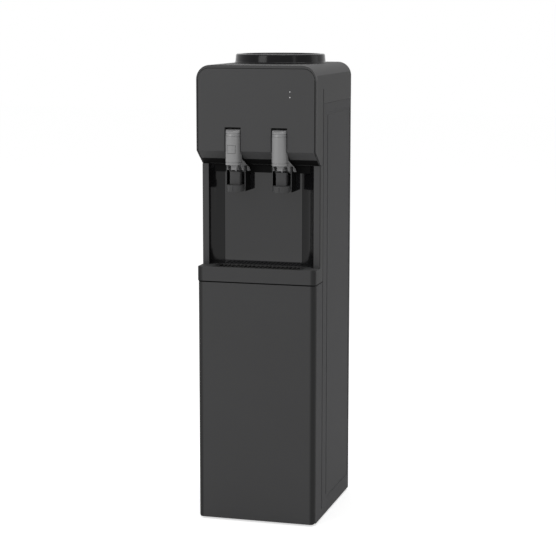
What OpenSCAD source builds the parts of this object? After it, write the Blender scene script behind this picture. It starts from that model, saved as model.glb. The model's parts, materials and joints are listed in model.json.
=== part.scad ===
// Floor-standing water dispenser with a hot and a normal press tap and a bottle seat on top.
// Frame: x = 0 on the centre line, y = 0 half-way through the depth, front towards -y, z = 0 on the floor.
// Inside the modules, depths are measured from the front skin backwards.

/* [Cabinet] */
// Width of the cabinet
body_w = 260; // [240:1:290]
// Depth of the cabinet from the front skin to the rear skin
body_d = 312; // [300:1:350]
// Thickness of the steel side and rear sheets
sheet_t = 1.6; // [1.2:0.1:2]
// Thickness of the moulded walls
wall_t = 2.5; // [2:0.25:3]
// Radius of the rounded vertical edges of the lower front
edge_r = 12; // [8:0.5:14]
// Depth of the grooves pressed into the side panels
groove_t = 0.7; // [0.4:0.1:0.9]
// Gap left where two covers meet
seam = 0.3; // [0.2:0.1:0.6]
// Gap that shows as a dark line around the front covers
show_gap = 1; // [0.6:0.1:1.6]

/* [Heights from the floor up] */
// Height of the rubber feet
foot_h = 4; // [3:0.5:8]
// Height of the base tray
base_h = 18; // [14:1:30]
// Height of the lower front panel
lower_h = 517; // [480:1:540]
// Gap under the band
band_gap = 2.5; // [1.5:0.5:4]
// Height of the band that holds the drip tray
band_h = 30.5; // [26:0.5:36]
// Height of the alcove from the band to the fascia
alcove_h = 247; // [235:1:270]
// Height of the upper front fascia
fascia_h = 172; // [165:1:190]
// Height of the head's lip above the fascia
lip_h = 6; // [4:0.5:9]
// Height of the bottle collar above the head
collar_h = 20; // [14:1:26]

/* [Alcove and tray] */
// Width of the glossy back splash between the coved walls
splash_w = 172; // [166:1:178]
// Thickness of the back splash
splash_t = 2.5; // [2:0.25:4]
// Depth of the front of the posts behind the front skin
post_y = 38; // [34:1:40]
// Width of the flat front of each post
post_w = 14; // [10:1:17]
// Depth of the front of the back splash behind the front skin
splash_y = 57; // [55:0.5:62]
// Depth of the joint between the front mouldings and the side sheets
joint_y = 61; // [60:0.5:64]
// Thickness of the tap bar in front of the splash
bar_t = 7; // [4:0.5:7.5]
// Height of the tap bar
bar_h = 33; // [28:1:36]
// Height from the fascia's lower edge down to the end of the sloped underside
slope_h = 30; // [26:1:34]
// Depth at which the sloped underside ends
slope_y = 41; // [38:1:44]
// Width of the drip tray
tray_w = 196; // [170:1:210]
// Front-to-back size of the drip tray
tray_d = 46; // [40:1:48]
// Depth of the drip tray's basin
tray_h = 22; // [16:1:24]
// Thickness of the drip grille
grille_t = 3; // [2:0.25:4]
// Width of each slot in the grille
slot_w = 4.5; // [3:0.25:6]

/* [Taps] */
// Distance between the two taps
tap_pitch = 100.8; // [94:0.2:108]
// Drop from the fascia's lower edge to the bottom of the nozzles
tap_drop = 86; // [82:1:92]
// Depth of the nozzle's axis behind the front skin
nozzle_y = 20; // [19:0.5:21]
// Outside diameter of the nozzle
nozzle_d = 36; // [30:0.5:38]
// Height of the nozzle
nozzle_h = 14; // [12:0.5:18]
// Width of the valve block
block_w = 23; // [21:0.5:25]
// Height of the valve block
block_h = 28; // [26:0.5:30]
// Distance between the outer faces of the two ears
ears_w = 43; // [41:0.5:45]
// Thickness of each ear
ear_t = 2; // [1.5:0.25:2.5]
// Bore of the valve chamber
chamber_d = 14; // [12:0.5:15]
// Outside diameter of the threaded shank
shank_d = 18; // [14:0.5:20]
// Diameter of the pivot pins
pin_d = 4; // [3:0.25:5]
// Running clearance of a pin or stem in its hole, on the diameter
run_gap = 0.1; // [0.06:0.02:0.16]
// Diameter of the valve stems
stem_d = 4; // [3:0.25:4.5]
// Distance from the pivot forward to the stem
lever_arm = 15; // [14:0.5:16]

/* [Handles] */
// Width of each handle
handle_w = 32; // [29:0.5:33]
// Height of the upright part of each handle
handle_h = 74; // [66:1:78]
// How far the handles stand out in front of the front skin
handle_proud = 12; // [9:0.5:13]
// Front-to-back size of the upright part
handle_d = 26; // [24:0.5:27]
// Width of the hood at its rear end
hood_w = 51; // [50:0.5:54]
// Angle that a handle turns when it is pressed
press_deg = 8; // [6:0.5:8]
// Width of the child-lock button
lock_w = 17; // [14:0.5:18]
// Height of the child-lock button
lock_h = 16.5; // [14:0.5:18]
// Travel of the child-lock button
lock_travel = 2.5; // [2:0.25:3]

/* [Bottle seat and tanks] */
// Outside diameter of the bottle collar at its base
collar_d = 199; // [185:1:205]
// Distance from the collar's axis back to the rear skin
collar_back = 120; // [116:1:124]
// Bore of the seat that the bottle's neck enters
neck_d = 58; // [54:0.5:62]
// Outside diameter of the reservoir
reservoir_d = 170; // [150:1:174]
// Height of the reservoir
reservoir_h = 118; // [100:1:124]
// Outside diameter of the hot tank
tank_d = 84; // [76:1:90]
// Height of the hot tank
tank_h = 140; // [120:1:150]
// Thickness of the tank insulation
insulation_t = 16; // [12:1:20]
// Outside diameter of the hoses
hose_d = 11; // [9:0.5:12]

/* [Hidden] */
$fn = 64;

// Named overrun for every cut
over = 1;
// Distance left between moving pieces that must not touch
clear = 0.5;

// Heights of the main lines above the floor
lower_top = foot_h + lower_h;
band_z = lower_top + band_gap;
band_top = band_z + band_h;
fascia_z = band_top + alcove_h;
fascia_top = fascia_z + fascia_h;
head_top = fascia_top + show_gap + lip_h;
// Height of the side sheets above the fascia's lower edge
side_rise = 99;
side_top = fascia_z + side_rise;
// Radii of the rounded corners seen from the front
head_r = 30;
fascia_r = head_r - lip_h;
// Depth of the bottle collar's axis behind the front skin
collar_y = body_d - collar_back;
corner_r = 6;

// Small sizes of the cabinet
flange_w = 14;
groove_w = 6;
groove_low = 24;
field_y = 98;
field_in = 14;
field_low = 42;
field_drop = 22;
groove_rise = 30;
// Depth of the tray's well behind the front skin
band_front = 7;
// Inset of the tray surround's foot, which closes the gap over the lower panel
heel_in = 1.2;
// Depth of the head's front lip
lip_d = 5;
rib_w = 3;
foot_d = 26;
foot_in = 28;
boss_d = 9;
right_angle = 90;
boss_turn = 45;

// Height of the sloped underside at a depth
function slope_z(y) = fascia_z - slope_h * y / slope_y;

// Height of the bar's top above the end of the sloped underside, and the bar's place
bar_up = 15;
bar_z = slope_z(slope_y) + bar_up - bar_h;
bar_y = splash_y - bar_t;
// Radius of the cove from each post back to the splash
cove_run = body_w / 2 - post_w - splash_w / 2;
cove_fall = splash_y - post_y;
cove_r = (cove_run * cove_run + cove_fall * cove_fall) / (2 * cove_fall);

// Small sizes of the taps
tap_z = fascia_z - tap_drop;
// Steps along the depth: nozzle to block front and to chamber, and nozzle to the ears' front
chamber_step = 5;
ear_step = 2;
block_front = nozzle_y - chamber_step;
chamber_y = nozzle_y + chamber_step;
block_back = chamber_y + chamber_d / 2 + wall_t;
ear_front = nozzle_y + ear_step;
pivot_y = chamber_y + lever_arm;
pivot_up = 1.5;
pivot_z = tap_z + nozzle_h + block_h + pivot_up;
pivot_r = 5;
neck_drop = 7;
ear_top = 11;
ear_slope_share = 0.8;
chamber_floor = 4;
chamber_top = 5;
spout_d = 6;
// Step of the spout's bore behind the nozzle's axis
spout_step = 1.5;
skirt_t = 2;
spout_wall = 2;
shank_rise = 13;
shank_z = tap_z + nozzle_h + shank_rise;
flange_t = 4;
shank_l = 30;
shank_end = splash_y - flange_t + shank_l;
shank_bore = 9;
washer_d = 30;
washer_t = 1.5;
nut_d = 32;
nut_t = 8;
nut_sides = 6;
hot_side = -1;
normal_side = 1;

// Small sizes of the stems, seals and springs
stem_head_d = 9;
stem_head_t = 3;
seal_d = 12;
seal_t = 3;
seal_lift = 0.2;
spring_wire = 1;
spring_turns = 6;
fork_t = 3;
fork_l = 4;
fork_gap = 0.6;
fork_clear = 0.4;
fork_up = 2;
valve_z = tap_z + nozzle_h + chamber_floor + seal_lift;
fork_z = tap_z + nozzle_h + block_h + fork_up;

// Small sizes of the handles
slot_gap = 1.6;
slot_rise = 49.8;
pocket_gap = 7.8;
hood_rise = 11;
shoulder_up = 17;
hood_tail = 7;
hood_low = 2;
// The two hollows under the hood: the middle rib's half width, the cheek and the roof over them
hood_rib = 7.5;
hood_cheek = 2;
hood_roof = 3.5;
handle_up = 57;
handle_top = tap_z + handle_up + handle_h;
// Depth of the pocket that takes the handle's top when it is pressed
pocket_d = handle_d - handle_proud + (handle_top - pivot_z) * sin(press_deg) + pocket_gap;
handle_top_r = 16;
cheek_gap = 0.8;
tongue_w = 12;
tongue_t = 5;
tongue_h = 11;
tongue_y = 8;
pin_in = 1;
pin_l = hood_w - 2 * pin_in;
lock_up = 25;
lock_z = tap_z + handle_up + lock_up;
lock_deep = 6;
lock_proud = 0.4;

// Small sizes of the bottle seat
collar_crest = 12.5;
collar_in = collar_d / 2 - collar_crest;
collar_lean = 2.5;
collar_rim = 3;
funnel_h = 50;
seat_h = 16;
collar_wall = 2.5;
hole_gap = 0.6;
// Width of the ledge around the neck's bore
seat_step = 8;
gasket_t = 2.5;
probe_d = 24;
probe_h = 44;
probe_wall = 2;
probe_base_t = 3;
window_w = 7;
window_h = 22;
reservoir_drop = 16;
reservoir_wall = 2;
// The reservoir hangs by its rim from bosses outside the head's hole
rim_gap = 0.4;
rim_r = collar_in + hole_gap + boss_d + rim_gap;
reservoir_z = head_top - wall_t - reservoir_drop - reservoir_h;
// Ports under the reservoir: place, length and outside diameter
tank_y = 168;
port_x = 30;
port_in = 16;
port_y = collar_y - tank_y + port_in;
port_l = 14;
port_d = 9;
port_z = reservoir_z - port_l;

// Small sizes of the inner works
shelf_t = 1.6;
shelf_drop = 20;
shelf_z = band_top + shelf_drop;
tank_wall = 1.2;
band_t = 2;
heater_h = 44;
heater_up = 24;
stat_d = 15;
stat_h = 8;
stat_apart = 36;
insulation_foot = 16;
tank_z = shelf_z + insulation_foot;
tank_top = tank_z + tank_h;
elbow_r = 6.6;
hot_out = 32;
drain_up = 14;
drain_z = tank_z + drain_up;
cap_d = 24;
cap_t = 6;
cap_skin = 2;
drain_d = 14;

// Small sizes of the electrical pieces
light_in = 56.4;
light_x = body_w / 2 - light_in;
light_drop = 47;
light_z = fascia_top - light_drop;
light_pitch = 11.3;
light_d = 2.4;
board_w = 30;
board_h = 24;
board_t = 1.6;
board_gap = 4;
boss_in = 4;
switch_x = -66;
switch_drop = 38;
switch_z = side_top - switch_drop;
switch_w = 27;
switch_h = 19;
switch_in = 16;
switch_flange = 2.5;
switch_out = 2;
// The rocker is a slice of a drum, with its axis inside the housing
rocker_t = 15;
rocker_axis = 3;
rocker_r = switch_h / 2 - wall_t / 2 - clear;
rocker_deg = 7;
rocker_out = 6;
rocker_back = 2;
inlet_x = 70;
inlet_z = 130;
inlet_d = 18;
inlet_out = 5;
block_l = 44;
terminal_w = 18;
terminal_h = 16;
spacer_w = 34;
spacer_h = 18;
vent_w = 120;
vent_h = 5;
vent_pitch = 14;
vent_low = 610;
vents = 14;
screw_d = 7;
screw_t = 1.6;
rear_out = handle_proud + lock_proud;

// Box between two corners
module block(a, b) translate(a) cube(b - a);

// Moves what it holds from the front skin to the part's own frame
module set_back() translate([0, -body_d / 2, 0]) children();

// Side outline, drawn as depth and height, spread across the width
module across(w) rotate([90, 0, 90]) translate([0, 0, -w / 2]) linear_extrude(w) children();

// Front outline, drawn as width and height, carried backwards
module backwards(y, d) translate([0, y + d, 0]) rotate([90, 0, 0]) linear_extrude(d) children();

// Rod lying front to back
module rod_back(x, y, z, d, l) translate([x, y, z]) rotate([-90, 0, 0]) cylinder(d = d, h = l);

// Rod lying across the width, centred
module rod_across(y, z, d, l) translate([-l / 2, y, z]) rotate([0, 90, 0]) cylinder(d = d, h = l);

// Outline with two rounded upper corners
module arch(w, h, r) {
    translate([-w / 2, 0]) square([w, h - r]);
    translate([-w / 2 + r, 0]) square([w - 2 * r, h]);
    for (s = [-1, 1]) intersection() {
        translate([s * (w / 2 - r), h - r]) circle(r);
        translate([-w / 2, 0]) square([w, h]);
    }
}

// Outline in plan with two rounded front corners
module round_front(w, d, r) {
    translate([-w / 2, r]) square([w, d - r]);
    translate([-w / 2 + r, 0]) square([w - 2 * r, d]);
    for (s = [-1, 1]) translate([s * (w / 2 - r), r]) circle(r);
}

// Side sheet with its pressed grooves, drawn for the right side
module side_sheet() {
    top = side_top - seam;
    low = foot_h + seam;
    x = body_w / 2;
    field_top = top - field_drop;
    difference() {
        union() {
            block([x - sheet_t, joint_y + seam, low], [x, body_d - seam, top]);
            block([x - sheet_t, edge_r + seam, low], [x, joint_y + over, lower_top]);
            block([x - flange_w, edge_r + seam, low], [x, edge_r + seam + sheet_t, lower_top]);
        }
        block([x - groove_t, joint_y - groove_w / 2, groove_low],
            [x + over, joint_y + groove_w / 2, top + over]);
        difference() {
            block([x - groove_t, field_y - groove_w / 2, field_low - groove_w / 2],
                [x + over, body_d - field_in + groove_w / 2, field_top + groove_w / 2]);
            block([x - groove_t - over, field_y + groove_w / 2, field_low + groove_w / 2],
                [x + 2 * over, body_d - field_in - groove_w / 2, field_top - groove_w / 2]);
        }
    }
}

module right_side_panel() color("#3a3a3c") set_back() side_sheet();

module left_side_panel() color("#3a3a3c") set_back() mirror([1, 0, 0]) side_sheet();

module base_tray() {
    w = body_w - 2 * sheet_t;
    y = edge_r + seam + sheet_t;
    color("#1c1c1e") set_back() difference() {
        block([-w / 2, y, foot_h + seam], [w / 2, body_d - sheet_t, foot_h + base_h]);
        block([-w / 2 + rib_w, y + rib_w, foot_h + seam + wall_t], [w / 2 - rib_w, body_d - sheet_t - rib_w,
            foot_h + base_h + over]);
    }
}

module feet() color("#141414") set_back()
    for (x = [-1, 1], y = [edge_r + foot_in, body_d - foot_in])
        translate([x * (body_w / 2 - foot_in), y, 0]) cylinder(d = foot_d, h = foot_h + seam);

module rear_panel() {
    w = body_w - 2 * sheet_t;
    color("#2c2c2e") set_back() {
        difference() {
            block([-w / 2, body_d - sheet_t, foot_h + seam], [w / 2, body_d, side_top - seam]);
            for (i = [0 : vents - 1]) translate([0, 0, vent_low + (i - vents / 2) * vent_pitch - tank_h])
                block([-vent_w / 2, body_d - sheet_t - over, 0], [vent_w / 2, body_d + over, vent_h]);
            rod_back(0, body_d - sheet_t - over, drain_z, drain_d + clear, sheet_t + 2 * over);
            rod_back(inlet_x, body_d - sheet_t - over, inlet_z, inlet_d, sheet_t + 2 * over);
            block([switch_x - switch_w / 2, body_d - sheet_t - over, switch_z - switch_h / 2],
                [switch_x + switch_w / 2, body_d + over, switch_z + switch_h / 2]);
        }
        for (x = [-1, 1], z = [side_top - 2 * spacer_w, foot_h + 2 * spacer_w])
            translate([x * (w / 2 - spacer_w), 0, z])
                block([-spacer_w / 2, body_d, -spacer_h / 2],
                    [spacer_w / 2, body_d + rear_out, spacer_h / 2]);
    }
}

module lower_front_panel() {
    low = foot_h;
    color("#3b3b3d") set_back() intersection() {
        translate([0, 0, low]) difference() {
            linear_extrude(lower_h) round_front(body_w, edge_r, edge_r - seam);
            translate([0, 0, wall_t]) linear_extrude(lower_h - 2 * wall_t) translate([0, wall_t])
                round_front(body_w - 2 * wall_t, edge_r, edge_r - wall_t);
        }
        translate([0, 0, low + lower_h]) mirror([0, 0, 1]) backwards(-over, edge_r + over)
            arch(body_w, lower_h, corner_r);
    }
}

module tray_surround() {
    x = body_w / 2;
    well_w = tray_w + 2 * clear;
    well_y = band_front;
    well_z = band_top - grille_t - tray_h - clear;
    color("#38383a") set_back() difference() {
        union() {
            translate([0, 0, band_z]) linear_extrude(band_h) round_front(body_w, joint_y, corner_r);
            translate([0, heel_in, lower_top + seam]) linear_extrude(band_gap)
                round_front(body_w - 2 * heel_in, joint_y - 2 * heel_in, corner_r);
        }
        block([-well_w / 2, well_y, well_z], [well_w / 2, well_y + tray_d + 2 * clear, band_top + over]);
        for (s = [-1, 1]) translate([s * (well_w + x * 2) / 4, 0, 0])
            block([-(x - well_w / 2) / 2 + wall_t, well_y, lower_top - over],
                [(x - well_w / 2) / 2 - wall_t, joint_y - wall_t, band_top - wall_t]);
        block([-well_w / 2, well_y, lower_top - over], [well_w / 2, joint_y - wall_t, well_z - wall_t]);
    }
}

// Post and coved wall of the alcove in plan, drawn for the right side
module post_2d() {
    x = body_w / 2;
    s = splash_w / 2;
    difference() {
        union() {
            translate([s, post_y]) square([x - s, joint_y - post_y]);
            translate([s - wall_t, splash_y + splash_t]) square([2 * wall_t, joint_y - splash_y - splash_t]);
        }
        translate([s, splash_y - cove_r]) circle(cove_r);
        difference() {
            translate([s + wall_t, post_y + wall_t]) square([x - s - 2 * wall_t, joint_y - post_y]);
            translate([s, splash_y - cove_r]) circle(cove_r + wall_t);
        }
    }
}

module alcove_frame() {
    top = slope_z(slope_y) - seam;
    color("#3a3a3c") set_back() difference() {
        for (s = [0, 1]) mirror([s, 0, 0])
            translate([0, 0, band_top]) linear_extrude(top - band_top) post_2d();
        for (s = [-1, 1]) translate([s * body_w / 2, 0, 0])
            block([-groove_t, joint_y - groove_w / 2, band_z], [groove_t, joint_y + over, top + over]);
    }
}

module back_splash() {
    s = splash_w / 2 - seam;
    top = slope_z(slope_y) + bar_up;
    color("#222224") set_back() difference() {
        block([-s, splash_y, band_top], [s, splash_y + splash_t, top]);
        for (t = [-1, 1])
            rod_back(t * tap_pitch / 2, splash_y - over, shank_z, shank_d + clear, splash_t + 2 * over);
    }
}

// The bar's ends follow the coved walls
module tap_bar() {
    s = splash_w / 2 - seam;
    color("#0e0e10") set_back() translate([0, 0, bar_z]) linear_extrude(bar_h) {
        translate([-s, bar_y]) square([2 * s, bar_t]);
        for (m = [0, 1]) mirror([m, 0]) intersection() {
            translate([0, bar_y]) square([body_w / 2, bar_t]);
            translate([s, splash_y - cove_r]) circle(cove_r - seam);
        }
    }
}

// Slot in the fascia for one handle
module handle_slot() {
    w = handle_w + 2 * slot_gap;
    block([-w / 2, -over, slope_z(slope_y) - over], [w / 2, pocket_d, fascia_z + slot_rise]);
}

module front_fascia() {
    w = body_w - 2 * (wall_t + show_gap);
    pocket_w = handle_w + 2 * slot_gap + 2 * wall_t;
    lip = bar_y - seam;
    color("#404042") set_back() difference() {
        union() {
            translate([0, 0, fascia_z]) backwards(0, wall_t) arch(w, fascia_h, fascia_r);
            across(w) polygon([[0, fascia_z], [slope_y, slope_z(slope_y)], [lip, slope_z(slope_y)],
                [lip, slope_z(slope_y) + wall_t], [slope_y + wall_t / 2, slope_z(slope_y) + wall_t],
                [wall_t, fascia_z + wall_t], [0, fascia_z + wall_t]]);
            for (t = [-1, 1]) translate([t * tap_pitch / 2, 0, 0])
                block([-pocket_w / 2, 0, fascia_z],
                    [pocket_w / 2, pocket_d + wall_t, fascia_z + slot_rise + wall_t]);
            for (t = [-1, 1]) translate([t * tap_pitch / 2, 0, 0]) across(pocket_w) polygon([
                [wall_t, slope_z(wall_t)], [pocket_d + wall_t, slope_z(pocket_d + wall_t)],
                [pocket_d + wall_t, fascia_z + wall_t], [wall_t, fascia_z + wall_t]]);
            for (x = [-1, 1], z = [-1, 1])
                rod_back(light_x + x * (board_w / 2 - boss_in), wall_t / 2, light_z - light_pitch / 2 +
                    z * (board_h / 2 - boss_in), boss_in, wall_t / 2 + board_gap);
        }
        for (t = [-1, 1]) translate([t * tap_pitch / 2, 0, 0]) handle_slot();
        for (i = [0, 1])
            rod_back(light_x, -over, light_z - i * light_pitch, light_d + run_gap, wall_t + 2 * over);
    }
}

module head_casing() {
    x = body_w / 2;
    skirt_z = side_top;
    h = head_top - skirt_z;
    w = body_w - 2 * wall_t;
    cheek = slope_z(slope_y);
    color("#424244") set_back() difference() {
        union() {
            translate([0, 0, skirt_z]) difference() {
                backwards(0, body_d) arch(body_w, h, head_r);
                translate([0, 0, -over]) backwards(-over, body_d + over - wall_t)
                    arch(w, h + over - wall_t, head_r - wall_t);
            }
            difference() {
                translate([0, 0, skirt_z - over]) backwards(0, lip_d) arch(body_w, h + over, head_r);
                translate([0, 0, fascia_z]) backwards(-over, lip_d + 2 * over)
                    arch(w, fascia_h + show_gap, fascia_r + show_gap);
            }
            for (s = [-1, 1]) translate([s * (x - wall_t / 2), 0, 0]) across(wall_t)
                polygon([[0, fascia_z], [slope_y, cheek], [joint_y, cheek], [joint_y, skirt_z + over],
                    [0, skirt_z + over]]);
            for (a = [0 : 3])
                translate([0, collar_y, reservoir_z + reservoir_h]) rotate(a * right_angle + boss_turn)
                    translate([rim_r - boss_d / 2, 0, 0]) cylinder(d = boss_d, h = reservoir_drop + over);
        }
        translate([0, collar_y, head_top - 2 * wall_t]) cylinder(r = collar_in + hole_gap, h = 4 * wall_t);
        for (s = [-1, 1]) translate([s * x, 0, 0])
            block([-groove_t, joint_y - groove_w / 2, cheek - over],
                [groove_t, joint_y + groove_w / 2, skirt_z + groove_rise]);
    }
}
module bottle_collar() {
    r0 = collar_d / 2;
    z = head_top;
    neck_r = neck_d / 2;
    low = z - funnel_h + collar_h;
    color("#161618") set_back() translate([0, collar_y, 0]) rotate_extrude() polygon([
        [r0, z], [r0 - collar_lean, z + collar_h - collar_rim], [r0 - collar_lean - collar_rim, z + collar_h],
        [collar_in, z + collar_h], [neck_r + seat_step, low], [neck_r, low], [neck_r, low - seat_h],
        [neck_r + collar_wall, low - seat_h], [neck_r + collar_wall, low - collar_wall],
        [neck_r + seat_step + collar_wall, low - collar_wall],
        [collar_in - collar_wall, z + collar_h - 2 * collar_wall], [collar_in - collar_wall, z - 2 * wall_t],
        [collar_in, z - 2 * wall_t], [collar_in, z]]);
}

module collar_gasket() {
    neck_r = neck_d / 2;
    low = head_top - funnel_h + collar_h;
    color("#5a5a5c") set_back() translate([0, collar_y, low]) difference() {
        cylinder(r = neck_r + seat_step - clear, h = gasket_t);
        translate([0, 0, -over]) cylinder(r = neck_r, h = gasket_t + 2 * over);
    }
}

module bottle_probe() {
    z = head_top - funnel_h + collar_h - seat_h;
    color("#d8dadd") set_back() translate([0, collar_y, z]) difference() {
        union() {
            translate([0, 0, -probe_base_t]) cylinder(d = neck_d + 2 * collar_wall, h = probe_base_t);
            cylinder(d = probe_d, h = probe_h);
            translate([0, 0, probe_h]) cylinder(d1 = probe_d, d2 = probe_d / 2, h = probe_d / 2);
        }
        translate([0, 0, -probe_base_t - over])
            cylinder(d = probe_d - 2 * probe_wall, h = probe_h + probe_base_t);
        for (a = [0, right_angle]) rotate(a) translate([0, 0, probe_h - window_h - probe_wall])
            block([-probe_d, -window_w / 2, 0], [probe_d, window_w / 2, window_h]);
    }
}

module reservoir() {
    z = reservoir_z;
    r = reservoir_d / 2;
    color("#c9cdd2") set_back() translate([0, collar_y, z]) difference() {
        union() {
            cylinder(r = r, h = reservoir_h);
            translate([0, 0, reservoir_h - reservoir_wall]) cylinder(r = rim_r, h = reservoir_wall);
            for (s = [-1, 1])
                translate([s * port_x, -port_y, -port_l]) cylinder(d = port_d, h = port_l + over);
        }
        translate([0, 0, reservoir_wall]) cylinder(r = r - reservoir_wall, h = reservoir_h);
        for (s = [-1, 1]) translate([s * port_x, -port_y, -port_l - over])
            cylinder(d = port_d - 2 * reservoir_wall, h = port_l + 3 * over + reservoir_wall);
    }
}

module tank_shelf() {
    w = body_w - 2 * sheet_t;
    color("#8d9094") set_back() {
        block([-w / 2, joint_y + rib_w, shelf_z - shelf_t], [w / 2, body_d - sheet_t, shelf_z]);
        for (s = [0, 1]) mirror([s, 0, 0])
            block([w / 2 - shelf_t, joint_y + rib_w, shelf_z - flange_w], [w / 2, body_d - sheet_t, shelf_z]);
    }
}

module hot_tank() color("#b9bdc2") set_back() translate([0, tank_y, tank_z]) difference() {
    cylinder(d = tank_d, h = tank_h);
    translate([0, 0, tank_wall]) cylinder(d = tank_d - 2 * tank_wall, h = tank_h - 2 * tank_wall);
}

// One half of the insulation around the hot tank, drawn for the right side
module insulation_half() {
    r = tank_d / 2 + band_t + seam;
    difference() {
        translate([0, tank_y, shelf_z]) cylinder(r = r + insulation_t, h = insulation_foot + tank_h);
        translate([0, tank_y, tank_z]) cylinder(r = r, h = tank_h + over);
        block([-body_w, 0, shelf_z - over], [seam / 2, body_d, tank_z + tank_h + over]);
        rod_back(0, tank_y, drain_z, drain_d + clear, body_d);
    }
}

module right_insulation() color("#e6e2d6") set_back() insulation_half();

module left_insulation() color("#e6e2d6") set_back() mirror([1, 0, 0]) insulation_half();

module heater_band() color("#a8752f") set_back() translate([0, tank_y, tank_z + drain_up + heater_up])
    difference() {
        cylinder(d = tank_d + 2 * band_t, h = heater_h);
        translate([0, 0, -over]) cylinder(d = tank_d, h = heater_h + 2 * over);
    }

module tank_thermostats() color("#d9d2c2") set_back() for (s = [-1, 1])
    translate([s * stat_apart / 2, tank_y + stat_apart / 2, tank_top]) {
        cylinder(d = stat_d, h = stat_h);
        translate([0, 0, stat_h]) cylinder(d = stat_d / 2, h = stat_h / 2);
    }

// Hose along its corner points, with a moulded elbow at each turn
module hose(points) {
    n = len(points);
    for (i = [0 : n - 2]) {
        run = points[i + 1] - points[i];
        flat = norm([run[0], run[1]]);
        translate(points[i]) rotate([0, atan2(flat, run[2]), atan2(run[1], run[0])])
            cylinder(d = hose_d, h = norm(run));
    }
    for (i = [1 : 1 : n - 2]) translate(points[i]) rotate([right_angle, 0, right_angle]) sphere(elbow_r);
}

module normal_hose() color("#e8e8ea") set_back() hose([[tap_pitch / 2, shank_end, shank_z],
    [tap_pitch / 2, collar_y - port_y, shank_z], [port_x, collar_y - port_y, shank_z],
    [port_x, collar_y - port_y, port_z]]);

module feed_hose() color("#e8e8ea") set_back()
    hose([[-port_x, collar_y - port_y, port_z], [-port_x, collar_y - port_y, tank_top]]);

module hot_hose() color("#e8e8ea") set_back() hose([[0, tank_y - hot_out, tank_top],
    [0, tank_y - hot_out, shank_z], [-tap_pitch / 2, tank_y - hot_out, shank_z],
    [-tap_pitch / 2, shank_end, shank_z]]);

module drain_pipe() color("#c4c7cb") set_back() {
    y = tank_y + tank_d / 2 - tank_wall / 2;
    difference() {
        rod_back(0, y, drain_z, drain_d, body_d - y + cap_t - cap_skin);
        rod_back(0, y - over, drain_z, drain_d - 2 * wall_t, body_d - y + cap_t + 2 * over);
        translate([0, tank_y, tank_z]) cylinder(d = tank_d, h = tank_h);
    }
}

module drain_cap() color("#1a1a1c") set_back() difference() {
    rod_back(0, body_d + seam, drain_z, cap_d, cap_t);
    rod_back(0, body_d + seam - over, drain_z, drain_d + run_gap, cap_t - cap_skin + over);
}

module indicator_board() color("#2c5a3a") set_back() {
    z = light_z - light_pitch / 2;
    y = wall_t + board_gap;
    block([light_x - board_w / 2, y, z - board_h / 2], [light_x + board_w / 2, y + board_t, z + board_h / 2]);
}

module indicator_lenses() color("#e8e8e8") set_back()
    for (i = [0, 1]) rod_back(light_x, 0, light_z - i * light_pitch, light_d, wall_t + board_gap);

module switch_housing() color("#111113") set_back() difference() {
    union() {
        block([switch_x - switch_w / 2, body_d - switch_in, switch_z - switch_h / 2],
            [switch_x + switch_w / 2, body_d, switch_z + switch_h / 2]);
        block([switch_x - switch_w / 2 - switch_flange, body_d, switch_z - switch_h / 2 - switch_flange],
            [switch_x + switch_w / 2 + switch_flange, body_d + switch_out,
                switch_z + switch_h / 2 + switch_flange]);
    }
    block([switch_x - rocker_t / 2 - clear, body_d + switch_out - rocker_r - 2 * clear,
            switch_z - switch_h / 2 + wall_t / 2],
        [switch_x + rocker_t / 2 + clear, body_d + switch_out + over, switch_z + switch_h / 2 - wall_t / 2]);
}

module switch_rocker() color("#b3261e") set_back() translate([switch_x, body_d - rocker_axis, switch_z])
    difference() {
        translate([-rocker_t / 2, 0, 0]) rotate([0, 90, 0]) cylinder(r = rocker_r, h = rocker_t);
        for (s = [-1, 1]) rotate([s * rocker_deg, 0, 0])
            block([-rocker_t, rocker_out, -rocker_r * 2], [rocker_t, rocker_r * 2, rocker_r * 2]);
        block([-rocker_t, -rocker_r * 2, -rocker_r * 2], [rocker_t, -rocker_back, rocker_r * 2]);
    }

module cord_inlet() color("#101012") set_back() difference() {
    union() {
        rod_back(inlet_x, body_d - wall_t * 2, inlet_z, inlet_d, wall_t * 2 + inlet_out);
        rod_back(inlet_x, body_d, inlet_z, inlet_d + 2 * wall_t, wall_t);
    }
    rod_back(inlet_x, body_d - wall_t * 2 - over, inlet_z, inlet_d / 2, wall_t * 3 + inlet_out + 2 * over);
}

module terminal_block() color("#e9e4d0") set_back() {
    w = body_w / 2 - sheet_t;
    difference() {
        block([w - terminal_w, body_d / 2, foot_h + base_h + block_l], [w, body_d / 2 + block_l,
            foot_h + base_h + block_l + terminal_h]);
        for (i = [1 : 3]) translate([w - terminal_w - over, body_d / 2 + i * block_l / 4,
            foot_h + base_h + block_l + terminal_h / 2]) rotate([0, right_angle, 0])
                cylinder(d = pin_d, h = terminal_w / 2);
    }
}

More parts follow.
